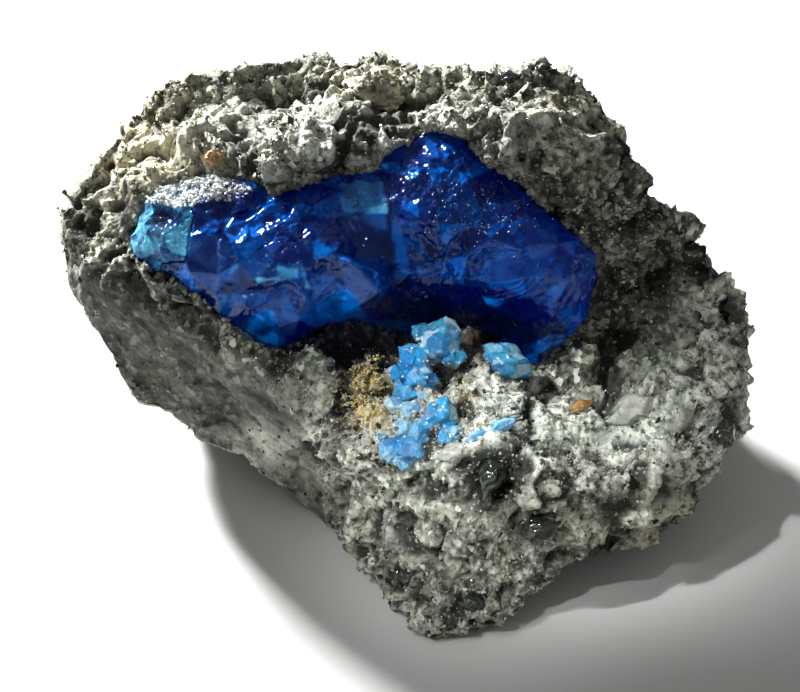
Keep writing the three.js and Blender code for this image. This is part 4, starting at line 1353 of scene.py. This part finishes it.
class Nodes:
    """Short ways to make and join the nodes of one material."""

    def __init__(self, name: str) -> None:
        """Starts a material that holds only its output."""
        self.material = bpy.data.materials.new(name)
        self.material.use_nodes = True
        self.tree = self.material.node_tree
        self.tree.nodes.clear()
        self.output = self.tree.nodes.new("ShaderNodeOutputMaterial")

    def node(self, kind: str, **values: object) -> bpy.types.Node:
        """A node with some of its sockets set, named as keys with _ for a space.

        Args:
            kind: The shader node's type, without its first words.
            **values: Its own settings, and values or other sockets for its sockets.

        Returns:
            The node.
        """
        made = self.tree.nodes.new("ShaderNode" + kind)
        for key, value in values.items():
            if hasattr(made, key):
                setattr(made, key, value)
            else:
                self.feed(made.inputs[key.replace("_", " ")], value)
        return made

    def feed(self, socket: Socket, value: object) -> None:
        """Links a socket to another socket, or sets its value."""
        if isinstance(value, Socket):
            self.tree.links.new(value, socket)
        else:
            socket.default_value = value

    def attribute(self, name: str) -> Socket:
        """A number that the mesh holds for each point."""
        return self.node("Attribute", attribute_name=name).outputs["Fac"]

    def place(self) -> Socket:
        """The piece's own coordinates."""
        return self.node("TexCoord").outputs["Object"]

    def noise(self, scale: float, detail: float = 3.0, rough: float = 0.55) -> Socket:
        """Cloudy noise of a given scale per metre."""
        made = self.node(
            "TexNoise", Vector=self.place(), Scale=scale, Detail=detail, Roughness=rough
        )
        return made.outputs["Fac"]

    def cells(self, scale: float, output: str = "Distance") -> Socket:
        """Cells of a given scale per metre."""
        return self.node("TexVoronoi", Vector=self.place(), Scale=scale).outputs[output]

    def maths(self, kind: str, a: object, b: object) -> Socket:
        """One sum of two numbers, of a kind."""
        made = self.node("Math", operation=kind)
        self.feed(made.inputs[0], a)
        self.feed(made.inputs[1], b)
        return made.outputs[0]

    def times(self, a: object, b: object) -> Socket:
        """The product of two numbers."""
        return self.maths("MULTIPLY", a, b)

    def plus(self, a: object, b: object) -> Socket:
        """The sum of two numbers."""
        return self.maths("ADD", a, b)

    def spread(
        self, value: object, low: float, high: float, to: tuple[float, float] = (0, 1)
    ) -> Socket:
        """A number from low to high carried to another range, and kept in it.

        Args:
            value: The number.
            low: Where the range starts.
            high: Where it ends.
            to: What the two become.

        Returns:
            The carried number.
        """
        made = self.node("MapRange", Value=value, From_Min=low, From_Max=high)
        made.inputs["To Min"].default_value = to[0]
        made.inputs["To Max"].default_value = to[1]
        return made.outputs[0]

    def mix(self, share: object, a: object, b: object) -> Socket:
        """Two colours mixed.

        Args:
            share: How much of the second there is, from 0 to 1.
            a: The first colour.
            b: The second colour.

        Returns:
            The mixed colour.
        """
        made = self.node("Mix", data_type="RGBA")
        self.feed(made.inputs["Factor"], share)
        for socket, value in ((made.inputs[6], a), (made.inputs[7], b)):
            self.feed(socket, (*value, 1) if isinstance(value, tuple) else value)
        return made.outputs[2]

    def bump(
        self, height: object, reach: float, strength: float = 1.0, normal: object = None
    ) -> Socket:
        """A bump of a given reach in metres.

        Args:
            height: What it follows, from 0 to 1.
            reach: How high 1 stands, in metres.
            strength: How much of it shows.
            normal: Another bump below this one, if any.

        Returns:
            The bumped normal.
        """
        made = self.node("Bump", Height=height, Distance=reach, Strength=strength)
        if normal is not None:
            self.feed(made.inputs["Normal"], normal)
        return made.outputs["Normal"]

    def shader(self, **values: object) -> bpy.types.Node:
        """The surface shader with some of its sockets set."""
        made = self.node("BsdfPrincipled", **values)
        self.tree.links.new(made.outputs[0], self.output.inputs["Surface"])
        return made

    def absorb(self, colour: Colour, density: float) -> None:
        """Plain absorption inside the piece: its colour and density are the shader's own."""
        made = self.node("VolumeAbsorption", Density=density)
        made.inputs["Color"].default_value = (*colour, 1)
        self.tree.links.new(made.outputs[0], self.output.inputs["Volume"])


@dataclass(frozen=True)
class RockFinish:
    """Granular grey rock: light and dark grains, tan, brownish and worn places, pale places that
    are partly painted light, and painted shade.
    """

    dark: Colour = (0.012, 0.014, 0.009)
    middle: Colour = (0.135, 0.148, 0.098)
    light: Colour = (0.52, 0.55, 0.42)
    tan: Colour = (0.60, 0.53, 0.33)
    white: Colour = (0.80, 0.84, 0.74)
    gold: Colour = (0.36, 0.25, 0.07)
    brown_and_shade: Colour = (0.09, 0.07, 0.045)
    streak_grey: Colour = (0.2, 0.21, 0.18)
    streak_pale: Colour = (0.7, 0.72, 0.62)
    streak_dark: Colour = (0.03, 0.034, 0.028)
    # The next three are near-black colours of painted shade
    hollow_shade: Colour = (0.02, 0.028, 0.022)
    shade: Colour = (0.018, 0.021, 0.016)
    crevice_shade: Colour = (0.012, 0.014, 0.010)
    # back: painted shade for the sides that face away from the show face
    back: Colour = (0.03, 0.033, 0.024)
    seat: Colour = (0.5, 0.56, 0.68)
    seat_dark: Colour = (0.03, 0.03, 0.04)
    grain_scale: float = 6200
    slope: Place = (0.8, -0.4, -0.45)

    def make(self) -> bpy.types.Material:
        """The material."""
        n = Nodes("granular_rock")
        fine = n.noise(5200, 4, 0.7)
        coarse = n.noise(1200, 4, 0.65)
        grains = n.node("SeparateColor", Color=n.cells(self.grain_scale, "Color"))
        one, two = grains.outputs[0], grains.outputs[1]
        tone = n.plus(n.times(fine, 0.5), n.times(coarse, 0.3))
        tone = n.plus(tone, n.times(one, 0.2))
        colour = n.mix(n.spread(tone, 0.39, 0.52), self.dark, self.middle)
        colour = n.mix(n.spread(tone, 0.5, 0.66), colour, self.light)
        colour = n.mix(n.spread(two, 0.90, 0.92, (0.0, 0.8)), colour, self.white)
        colour = n.mix(n.spread(two, 0.10, 0.08, (0.0, 0.85)), colour, self.dark)
        tan = n.times(n.attribute("tan"), n.spread(fine, 0.38, 0.58))
        colour = n.mix(tan, colour, self.tan)
        # Pale places: partly the rock's own white and partly painted light
        pale = n.times(n.attribute("pale"), n.spread(n.noise(2600, 5, 0.75), 0.40, 0.58))
        colour = n.mix(pale, colour, self.white)
        gold = n.times(n.attribute("gold"), n.spread(n.noise(4500, 3, 0.7), 0.4, 0.52))
        colour = n.mix(gold, colour, self.gold)
        # Partly the rock's brownish tone and partly painted shade under the crystal, the shelf and
        # the nose
        brown_and_shade = n.times(n.attribute("brown_and_shade"), n.spread(n.noise(3000, 3, 0.7), 0.3, 0.5))
        colour = n.mix(brown_and_shade, colour, self.brown_and_shade)
        worn = n.attribute("worn")
        streaks = n.spread(self.streaks(n), 0.35, 0.65)
        streak_light = n.mix(n.attribute("pale"), self.streak_grey, self.streak_pale)
        streaks = n.mix(streaks, self.streak_dark, streak_light)
        colour = n.mix(n.times(worn, 0.75), colour, streaks)
        # Painted shade: the hollows' ovals are darkened to near-black green
        colour = n.mix(n.times(n.attribute("hollow_shade"), 0.85), colour, self.hollow_shade)
        # Painted shade: the recesses' ovals are darkened, unevenly by noise
        shade = n.times(n.attribute("shade"), n.spread(n.noise(900, 4, 0.7), 0.3, 0.5, (0.5, 1.0)))
        colour = n.mix(shade, colour, self.shade)
        # Painted shade: low places of the fine relief are darkened, most in the deepest crevices
        colour = n.mix(n.spread(n.attribute("relief"), 0.05, 0.6, (0.92, 0.0)), colour, self.crevice_shade)
        # Painted shade: the back, which faces away from the show face, is darkened
        colour = n.mix(n.times(n.attribute("behind"), 0.8), colour, self.back)
        colour = n.mix(n.attribute("seat"), colour, self.seat)
        colour = n.mix(n.attribute("seat_dark"), colour, self.seat_dark)
        bump = n.bump(fine, 0.00007, 1.0)
        bump = n.bump(n.cells(self.grain_scale), 0.00005, 0.8, bump)
        n.shader(
            Base_Color=colour,
            Roughness=n.spread(two, 0.86, 0.92, (0.75, 0.18)),
            Specular_IOR_Level=0.5,
            Normal=bump,
        )
        return n.material

    def streaks(self, n: Nodes) -> Socket:
        """Noise drawn out along the flank's own slope."""
        along = Vector((1, 0, 0)).rotation_difference(Vector(self.slope))
        turned_back = n.node("Mapping", vector_type="TEXTURE", Vector=n.place())
        turned_back.inputs["Rotation"].default_value = along.to_euler()
        turned_back.inputs["Scale"].default_value = (5, 1, 1)
        made = n.node(
            "TexNoise", Vector=turned_back.outputs[0], Scale=2600, Detail=4, Roughness=0.6
        )
        return made.outputs["Fac"]


@dataclass(frozen=True)
class BlueGlass:
    """Blue crystal: clear, with tints that scatter light where it is cracked or coated, and painted
    reflections on some facets.
    """

    name: str
    absorbed: Colour
    density: float
    clear: Colour
    dim: Colour
    reflection_colour: Colour = (0.06, 0.14, 0.41)
    glow: Colour = (0.0, 0.28, 1.0)
    ice: Colour = (0.16, 0.72, 1.0)
    crust: Colour = (0.6, 0.66, 0.66)
    body: float = 0.34
    ior: float = HAUYNE_IOR
    gloss: float = 0.3
    glint: tuple[float, float, float, float] = (0.45, 0.62, 1.0, 1.0)

    def make(self) -> bpy.types.Material:
        """The material."""
        n = Nodes(self.name)
        mottle = n.spread(n.noise(2200, 4, 0.6), 0.3, 0.7, (0.35, 1.25))
        painted_reflection, glow, ice, crust = (
            n.times(n.attribute(kind.value), mottle)
            for kind in (Tint.PAINTED_REFLECTION, Tint.GLOW, Tint.ICE, Tint.CRUST)
        )
        glow = n.times(glow, n.spread(n.noise(1300, 4, 0.6), 0.42, 0.6, (0.3, 1.25)))
        clear = n.mix(n.spread(n.attribute("shade"), 0.25, 0.8), self.dim, self.clear)
        clear = n.mix(n.attribute(Tint.DEEP.value), clear, self.dim)
        # Painted reflection: the facets' slate-blue, which also makes them less clear
        colour = n.mix(n.spread(painted_reflection, 0, 1), clear, self.reflection_colour)
        colour = n.mix(n.spread(glow, 0, 1), colour, self.glow)
        colour = n.mix(n.spread(ice, 0, 1), colour, self.ice)
        speckle = n.spread(n.noise(4200, 4, 0.75), 0.42, 0.58, (0.15, 1.0))
        crust = n.times(crust, speckle)
        colour = n.mix(n.spread(crust, 0, 0.6), colour, self.crust)
        body = n.spread(n.attribute("shade"), 0.5, 0.85, (0.13, self.body))
        body = n.times(body, n.spread(n.attribute(Tint.DEEP.value), 0, 1, (1.0, 0.3)))
        body = n.times(body, n.spread(n.attribute(Tint.SPARK.value), 0, 1, (1.0, 0.45)))
        lost = n.plus(n.times(painted_reflection, 0.45), n.times(glow, 0.9))
        lost = n.plus(lost, body)
        lost = n.plus(lost, n.times(ice, 0.6))
        lost = n.plus(lost, crust)
        grain = n.plus(n.attribute(Tint.SPARK.value), n.attribute(Tint.CRUST.value))
        cells = n.times(n.cells(9000), n.spread(grain, 0, 1, (0.04, 1)))
        bump = n.bump(n.noise(5200, 3, 0.6), 0.00002, 0.3)
        bump = n.bump(cells, 0.00006, 0.9, bump)
        shader = n.shader(
            Base_Color=colour,
            Roughness=n.plus(n.spread(lost, 0.0, 1.0, (0.02, 0.2)), n.times(crust, 0.5)),
            Specular_IOR_Level=self.gloss,
            Specular_Tint=self.glint,
            Transmission_Weight=n.spread(lost, 0.0, 1.0, (1.0, 0.0)),
            Normal=bump,
        )
        shader.inputs["IOR"].default_value = self.ior
        n.absorb(self.absorbed, self.density)
        return n.material


@dataclass(frozen=True)
class MilkyFinish:
    """The small pale crystals: cloudy, from teal over azure to pale blue, with a wet gloss and a
    painted highlight round their edges.
    """

    teal: Colour = (0.07, 0.46, 0.72)
    azure: Colour = (0.04, 0.48, 1.0)
    pale: Colour = (0.48, 0.84, 1.0)
    cloud: Colour = (0.75, 0.92, 1.0)
    light_flaw: Colour = (0.66, 0.92, 1.0)
    dark_flaw: Colour = (0.01, 0.18, 0.55)
    # rim: the colour of the painted highlight round the edges
    rim: Colour = (0.5, 0.88, 1.0)
    clear: float = 0.42

    def make(self) -> bpy.types.Material:
        """The material."""
        n = Nodes("milky_hauyne")
        shade = n.plus(
            n.attribute("shade"), n.spread(n.noise(2600, 4, 0.65), 0.3, 0.7, (-0.5, 0.5))
        )
        colour = n.mix(n.spread(shade, 0.2, 0.9), self.teal, self.azure)
        colour = n.mix(n.spread(shade, 1.1, 2.0), colour, self.pale)
        colour = n.mix(n.spread(n.noise(6000, 3), 0.58, 0.7, (0.0, 0.7)), colour, self.cloud)
        flaws = n.node("SeparateColor", Color=n.cells(3000, "Color"))
        colour = n.mix(n.spread(flaws.outputs[0], 0.78, 0.86, (0.0, 0.7)), colour, self.light_flaw)
        colour = n.mix(n.spread(flaws.outputs[1], 0.40, 0.26, (0.0, 0.6)), colour, self.dark_flaw)
        bump = n.bump(flaws.outputs[2], 0.00006, 0.8)
        bump = n.bump(n.noise(1600, 4, 0.6), 0.00030, 0.9, bump)
        # Painted highlight: the edges, where the surface turns away from the view, are lightened
        edge = n.node("LayerWeight", Blend=0.35)
        colour = n.mix(n.spread(edge.outputs["Facing"], 0.45, 0.9, (0.0, 0.5)), colour, self.rim)
        shader = n.shader(Base_Color=colour, Roughness=0.05, Normal=bump)
        shader.inputs["Transmission Weight"].default_value = self.clear
        shader.inputs["IOR"].default_value = HAUYNE_IOR
        return n.material


@dataclass(frozen=True)
class MineralFinish:
    """A small crystal or grain of one mineral: two shades, gloss, and how clear it is."""

    name: str
    shade: Colour
    other: Colour
    rough: float
    clear: float
    ior: float

    def make(self) -> bpy.types.Material:
        """The material."""
        n = Nodes(self.name)
        cloud = n.plus(n.noise(2400, 3), n.times(n.attribute("own"), 0.35))
        bump = n.bump(n.noise(7000, 3), 0.00002, 0.5)
        shader = n.shader(
            Base_Color=n.mix(n.spread(cloud, 0.4, 0.8), self.shade, self.other),
            Roughness=n.spread(n.noise(4000, 2), 0.4, 0.6, (self.rough, min(1, self.rough + 0.25))),
            Normal=bump,
        )
        shader.inputs["Transmission Weight"].default_value = self.clear
        shader.inputs["IOR"].default_value = self.ior
        return n.material


class Mineral(Enum):
    """The minerals in the rock, each with its finish."""

    SANIDINE = MineralFinish(
        "clear_sanidine", (0.78, 0.8, 0.74), (0.55, 0.57, 0.5), 0.1, 0.35, 1.53
    )
    TAN_SANIDINE = MineralFinish(
        "tan_sanidine", (0.30, 0.28, 0.20), (0.74, 0.69, 0.50), 0.2, 0.45, 1.53
    )
    AUGITE = MineralFinish(
        "black_augite", (0.004, 0.006, 0.004), (0.015, 0.022, 0.016), 0.04, 0.0, 1.7
    )
    TITANITE = MineralFinish(
        "amber_titanite", (0.10, 0.04, 0.01), (0.55, 0.30, 0.07), 0.15, 0.3, 1.9
    )
    GOLDEN_MICA = MineralFinish("golden_mica", (0.5, 0.35, 0.08), (0.8, 0.66, 0.3), 0.1, 0.0, 1.6)
    ROCK_CRUMB = MineralFinish(
        "rock_crumb", (0.07, 0.075, 0.055), (0.27, 0.28, 0.22), 0.6, 0.0, 1.5
    )
    ICE_GLINT_FLECKS = MineralFinish("ice_glint_flecks", (0.5, 0.75, 1.0), (0.8, 0.95, 1.0), 0.1, 0.0, 1.5)
    WHITE_DUST_AND_GLINT_FLECKS = MineralFinish("white_dust_and_glint_flecks", (0.6, 0.62, 0.56), (0.8, 0.84, 0.8), 0.2, 0.0, 1.5)
    GREY_SANIDINE = MineralFinish(
        "grey_sanidine", (0.3, 0.32, 0.26), (0.5, 0.52, 0.44), 0.15, 0.3, 1.53
    )


# The studio


@dataclass
class Studio:
    """The pale floor, the lamps, and the camera at the photograph's angle."""

    lens: float = 180.0
    sensor: float = 36.0
    view_width: float = 0.020
    aim: Place = (0.0, -0.15, 0.0)
    floor_half: float = 1.5
    floor_colour: tuple[float, float, float, float] = (0.62, 0.62, 0.61, 1)
    sky: float = 0.27
    lamp_aim: Place = (0, 0, 0.004)
    beam_source: float = 0.003

    @staticmethod
    def hang(
        name: str, data: bpy.types.ID, way: Vector, distance: float, aim: Vector
    ) -> bpy.types.Object:
        """Puts a lamp or the camera at a distance from a point, and turns it to face the point.

        Args:
            name: Its name.
            data: The lamp or the camera.
            way: The way to it from the point, 1 long.
            distance: How far it is, in metres.
            aim: The point that it faces, in the world.

        Returns:
            The linked object.
        """
        made = bpy.data.objects.new(name, data)
        made.location = way * distance + aim
        made.rotation_mode = "QUATERNION"
        made.rotation_quaternion = way.to_track_quat("Z", "Y")
        bpy.context.scene.collection.objects.link(made)
        return made

    def floor(self) -> None:
        """A wide pale floor under the specimen."""
        n = Nodes("pale_floor")
        n.shader(Base_Color=self.floor_colour, Roughness=0.9, Specular_IOR_Level=0.1)
        r = self.floor_half
        points = np.array([(-r, -r, -1e-5), (r, -r, -1e-5), (r, r, -1e-5), (-r, r, -1e-5)])
        floor = mesh_object("floor", points, np.array([[0, 1, 2, 3]]), smooth=False)
        floor.data.materials.append(n.material)

    def lamp(self, name: str, towards: Place, distance: float, size: float, power: float) -> None:
        """A square lamp that faces the specimen.

        Args:
            name: Its name.
            towards: The way to it from the specimen.
            distance: How far it is, in metres.
            size: Its width in metres.
            power: Its power in watts.
        """
        data = bpy.data.lights.new(name, "AREA")
        data.size, data.energy = size, power
        self.hang(name, data, Vector(towards).normalized(), distance, Vector(self.lamp_aim))

    def snoot(
        self,
        name: str,
        towards: Place,
        place: Place,
        distance: float,
        width: float,
        power: float,
    ) -> None:
        """A lamp with a soft narrow beam on one place of the show face.

        Args:
            name: Its name.
            towards: The way to it from the place.
            place: The face point in the middle of its beam.
            distance: How far it is, in metres.
            width: The beam's whole angle in degrees.
            power: Its power in watts.
        """
        data = bpy.data.lights.new(name, "SPOT")
        data.energy, data.spot_size, data.spot_blend = power, math.radians(width), 1.0
        data.shadow_soft_size = self.beam_source
        aim = Vector(Face.to_world(np.array([place]))[0])
        self.hang(name, data, Vector(towards).normalized(), distance, aim)

    def camera(self) -> None:
        """A long lens that looks straight at the show face."""
        data = bpy.data.cameras.new("camera")
        data.lens, data.sensor_width = self.lens, self.sensor
        data.clip_start, data.clip_end = 0.001, 20
        out = Vector((0, -math.sin(FACE_PITCH), math.cos(FACE_PITCH)))
        target = Vector(Face.to_world(np.array([self.aim]))[0])
        distance = self.view_width * self.lens / self.sensor
        bpy.context.scene.camera = self.hang("camera", data, out, distance, target)

    def build(self) -> None:
        """Sets up everything round the specimen."""
        scene = bpy.context.scene
        world = bpy.data.worlds.new("studio")
        scene.world = world
        world.use_nodes = True
        nodes = world.node_tree.nodes
        back = nodes.get("Background") or nodes.new("ShaderNodeBackground")
        back.inputs["Color"].default_value = (1, 1, 1, 1)
        back.inputs["Strength"].default_value = self.sky
        scene.view_settings.view_transform = "Standard"
        self.floor()
        self.lamp("key", (-1.4, 1.8, 1.06), 0.35, 0.04, 5.8)
        self.lamp("side", (-1.8, 0.8, 1.0), 0.35, 0.10, 0.08)
        self.snoot("front", (-0.9, -0.4, 1.5), (0.8, -1.8, 0.5), 0.12, 4.2, 0.62)
        self.snoot("front_right", (-0.9, -0.4, 1.5), (5.0, -2.1, 0.5), 0.12, 4.0, 0.62)
        self.snoot("front_low", (-0.9, -0.8, 1.5), (1.6, -5.0, 0.5), 0.12, 3.4, 0.42)
        self.camera()


# The specimen


# The pale crystals of the ledge: middle, size, and shade from 0 (teal) over 1 (azure) to 2 (pale)
PALE_CLUSTER = (
    ((1.0, -0.05, 0.35), 0.6, 0.15), ((1.32, -0.42, 0.45), 0.36, 0.3),
    ((0.62, 0.1, 0.3), 0.33, 0.3), ((0.36, -0.5, 0.6), 0.42, 1.0), ((0.02, -0.85, 0.65), 0.34, 1.0),
    ((0.5, -0.95, 0.75), 0.4, 1.1), ((0.15, -1.3, 0.8), 0.38, 1.2),
    ((-0.12, -1.62, 0.8), 0.27, 1.9), ((0.64, -1.4, 0.85), 0.3, 1.9),
    ((0.3, -1.8, 0.95), 0.36, 1.8), ((0.98, -1.85, 1.15), 0.48, 0.95), ((0.6, -2.2, 1.2), 0.4, 1.3),
    ((1.1, -2.35, 1.35), 0.3, 1.2), ((0.1, -2.2, 1.1), 0.36, 1.9), ((0.3, -2.65, 1.3), 0.4, 1.5),
    ((-0.15, -2.7, 1.2), 0.36, 1.4), ((0.1, -3.0, 1.3), 0.27, 1.7),
    ((-0.36, -2.45, 1.05), 0.26, 1.3), ((1.36, -2.3, 1.4), 0.22, 1.6),
)
# The crystals that stand alone, by the model's node
LONE_CRYSTALS = {
    "pale_hauyne_grain": SmallCrystal((2.65, -0.5, 0.5), (0.78, 0.48, 0.5), (5, 15, -32)),
    "pale_hauyne_flake": SmallCrystal((2.25, -2.2, 2.25), (0.75, 0.22, 0.3), (0, 0, 24)),
    "sanidine_nodule": SmallCrystal((-2.9, 4.5, -0.45), (0.95, 0.75, 0.6), (20, 0, -20), 0.6, 8),
    "sanidine_on_shelf": SmallCrystal((5.85, -1.75, 0.35), (0.72, 0.5, 0.5), (10, 10, 18)),
    "sanidine_at_back": SmallCrystal((-0.55, 6.35, -2.15), (1.0, 0.7, 0.55), (-35, 0, 10), 0.6, 8),
    "sanidine_on_nose": SmallCrystal((1.35, -2.75, 1.95), (0.62, 0.26, 0.35), (0, 10, 15)),
    "augite_in_nose": SmallCrystal((2.25, -3.25, 2.05), (0.4, 0.68, 0.45), (0, 0, -15)),
    "augite_under_nose": SmallCrystal((3.45, -4.55, 1.85), (0.62, 0.4, 0.4), (0, 0, 25)),
    "augite_at_foot": SmallCrystal((1.8, -6.5, 0.55), (0.36, 0.26, 0.3), (0, 20, 10)),
    "augite_on_top": SmallCrystal((2.75, 6.65, -1.1), (0.3, 0.2, 0.25), (15, 0, 0)),
    "augite_at_right": SmallCrystal((8.15, -2.35, -0.4), (0.32, 0.38, 0.35), (0, 30, 0)),
    "titanite_on_left": SmallCrystal((-4.7, 4.55, -0.9), (0.26, 0.3, 0.25), (30, 0, 20)),
    "titanite_on_shelf": SmallCrystal((4.5, -1.65, 0.3), (0.36, 0.18, 0.25), (0, 0, 20)),
}


@dataclass
class Specimen:
    """The whole specimen: the rock, its crystals and its grains."""

    deep: BlueGlass = BlueGlass(
        "deep_hauyne", (0.0, 0.26, 0.90), 1300.0, (0.0, 0.22, 1.0), (0.0, 0.05, 0.45)
    )
    pale: BlueGlass = BlueGlass(
        "pale_hauyne", (0.05, 0.62, 0.95), 1200.0, (0.12, 0.64, 1.0), (0.03, 0.34, 0.75),
        (0.10, 0.42, 0.78), body=0.4,
    )

    def add(
        self, piece: bpy.types.Object, finish: bpy.types.Material, slot: str, *nodes: str
    ) -> None:
        """Dresses a piece, sets it on the frame and hides the model's nodes that it replaces.

        Args:
            piece: The finished piece.
            finish: Its material.
            slot: Not used.
            *nodes: The model's nodes that it replaces, if any.
        """
        piece.data.materials.append(finish)
        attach(piece, "root")
        if nodes:
            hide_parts(*nodes)
        LOG.info("%s: %d faces", piece.name, len(piece.data.polygons))

    def rock(self) -> bpy.types.Object:
        """The rock, with the big crystal's seat."""
        piece = RockBlock().build()
        self.add(piece, RockFinish().make(), "rock", "matrix_rock")
        return piece

    def big_crystal(self) -> None:
        """The deep blue crystal and its pale end."""
        net = FacetNet.of()
        main = BrokenCrystal("hauyne_crystal_body", Part.DEEP, net).build()
        self.add(main, self.deep.make(), "deep_hauyne", "hauyne_crystal")
        end = BrokenCrystal("hauyne_crystal_pale_end", Part.PALE, net).build()
        self.add(end, self.pale_finish, "pale_hauyne")
        for number, piece in enumerate((main, end)):
            p = Face.from_world(points_of(piece))
            crust = stored(piece, Tint.CRUST.value)
            top = p[:, 2] > BrokenCrystal.base + 0.1
            self.dust_and_glint_flecks(
                piece, f"crust_grains_{number}", (420, 160)[number], (0.04, 0.13), crust * top
            )
            if piece is main:
                # Bluish-white flecks that stand in for glints: painted highlights
                flecks = ovals(p[:, 0], p[:, 1], GLINT_FLECK_SPOTS)
                self.dust_and_glint_flecks(
                    piece, "crystal_flecks", 120, (0.02, 0.05), flecks * top, Mineral.ICE_GLINT_FLECKS
                )

    def dust_and_glint_flecks(
        self,
        host: bpy.types.Object,
        name: str,
        count: int,
        size: tuple[float, float],
        wanted: Array,
        mineral: Mineral = Mineral.WHITE_DUST_AND_GLINT_FLECKS,
    ) -> None:
        """Sets small pale grains on a crystal: the white grains of its crust, and flecks that stand
        in for its glints as painted highlights.

        Args:
            host: The crystal's object.
            name: The new piece's name.
            count: How many grains.
            size: The smallest and the largest, in mm.
            wanted: For each of the crystal's points, how much a grain there is wanted.
            mineral: What the grains are.
        """
        grains = Grains(name, count, size, 40 + len(name), sunk=0.2).build(host, wanted)
        self.add(grains, mineral.value.make(), "sanidine")

    def small_crystals(self) -> None:
        """The crystals of the ledge and of the rock."""
        finishes = {
            "pale": MilkyFinish().make(),
            "sanidine": Mineral.SANIDINE.value.make(),
            "augite": Mineral.AUGITE.value.make(),
            "titanite": Mineral.TITANITE.value.make(),
        }
        special = {
            "sanidine_at_back": Mineral.TAN_SANIDINE.value.make(),
            "sanidine_nodule": Mineral.GREY_SANIDINE.value.make(),
        }
        rng = np.random.default_rng(21)
        grown = [
            SmallCrystal(
                (at[0], at[1], at[2] + CRYSTAL_RISE), tuple(size * rng.uniform(0.95, 1.3, 3)),
                tuple(rng.uniform(-40, 40, 3)), 0.2, 30,
            )
            for at, size, _ in PALE_CLUSTER
        ]
        cluster = crystal_piece("pale_cluster", grown)
        shades = np.repeat(
            [shade for *_, shade in PALE_CLUSTER], len(cluster.data.vertices) // len(grown)
        )
        store(cluster, "shade", shades)
        self.add(cluster, finishes["pale"], "pale_hauyne", "pale_hauyne_cluster")
        # White flecks on the pale crystals that stand in for glints: painted highlights
        self.dust_and_glint_flecks(cluster, "cluster_flecks", 170, (0.03, 0.1), np.ones(len(cluster.data.vertices)))
        for node, crystal in LONE_CRYSTALS.items():
            kind = node.split("_")[0]
            x, y, z = crystal.at
            raised = replace(crystal, at=(x, y, z + CRYSTAL_RISE), worn=max(crystal.worn, 0.25))
            piece = crystal_piece(node + "_shown", [raised])
            store(
                piece, "shade", np.full(len(piece.data.vertices), 1.5 if "flake" in node else 0.2)
            )
            store(piece, "own", np.full(len(piece.data.vertices), 0.5))
            slot = "pale_hauyne" if kind == "pale" else kind
            self.add(piece, special.get(node, finishes[kind]), slot, node)
            if node in special:
                everywhere = np.ones(len(piece.data.vertices))
                crumbs = Grains(node + "_crumbs", 260, (0.06, 0.22), 61, long=1.2).build(
                    piece, everywhere
                )
                self.add(crumbs, Mineral.ROCK_CRUMB.value.make(), "rock")

    def grains(self, rock: bpy.types.Object) -> None:
        """The grains that the rock is sprinkled with."""
        p = Face.from_world(points_of(rock))
        x, y = p[:, 0], p[:, 1]
        rim = inset(x, y, RIM_PLAN)
        clumps = smoothstep(lumps(p, 1.4, 201), -0.5, 0.6)
        outside = rim < -0.02
        worn = on_flank(x, y)
        behind = stored(rock, "behind")
        even = (0.3 + clumps) * outside * (1 - 0.85 * worn) * (1 - 0.9 * behind)
        ledge = outside * ovals(x, y, LEDGE_GRAIN_SPOTS)
        gold = outside * clumps * ovals(x, y, GOLD_GRAIN_SPOTS)
        lip = np.exp(-(((rim + 0.06) / 0.07) ** 2)) * (p[:, 2] > -1.3)
        kinds = (
            ("rock_crumbs", 4000, (0.05, 0.16), 1.0, even, Mineral.ROCK_CRUMB, "rock"),
            ("sanidine_grains", 2200, (0.04, 0.12), 1.5, even, Mineral.SANIDINE, "sanidine"),
            ("augite_grains", 900, (0.05, 0.22), 1.5, even, Mineral.AUGITE, "augite"),
            ("ledge_grains", 2600, (0.05, 0.15), 1.4, ledge, Mineral.SANIDINE, "sanidine"),
            ("gold_grains", 1500, (0.03, 0.10), 1.3, gold, Mineral.GOLDEN_MICA, "titanite"),
            ("rim_crumbs", 700, (0.08, 0.28), 1.2, lip, Mineral.ROCK_CRUMB, "rock"),
        )
        for number, (name, count, size, long, wanted, mineral, slot) in enumerate(kinds):
            grains = Grains(name, count, size, 3 + number, long=long).build(rock, wanted)
            self.add(grains, mineral.value.make(), slot)

    def build(self) -> None:
        """Builds every part of the specimen in order."""
        self.pale_finish = self.pale.make()
        rock = self.rock()
        self.big_crystal()
        self.small_crystals()
        self.grains(rock)


def main() -> None:
    """Builds the specimen and its studio."""
    logging.basicConfig(level=logging.INFO, format="%(message)s")
    Specimen().build()
    Studio().build()
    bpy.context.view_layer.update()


if __name__ == "__main__":
    main()
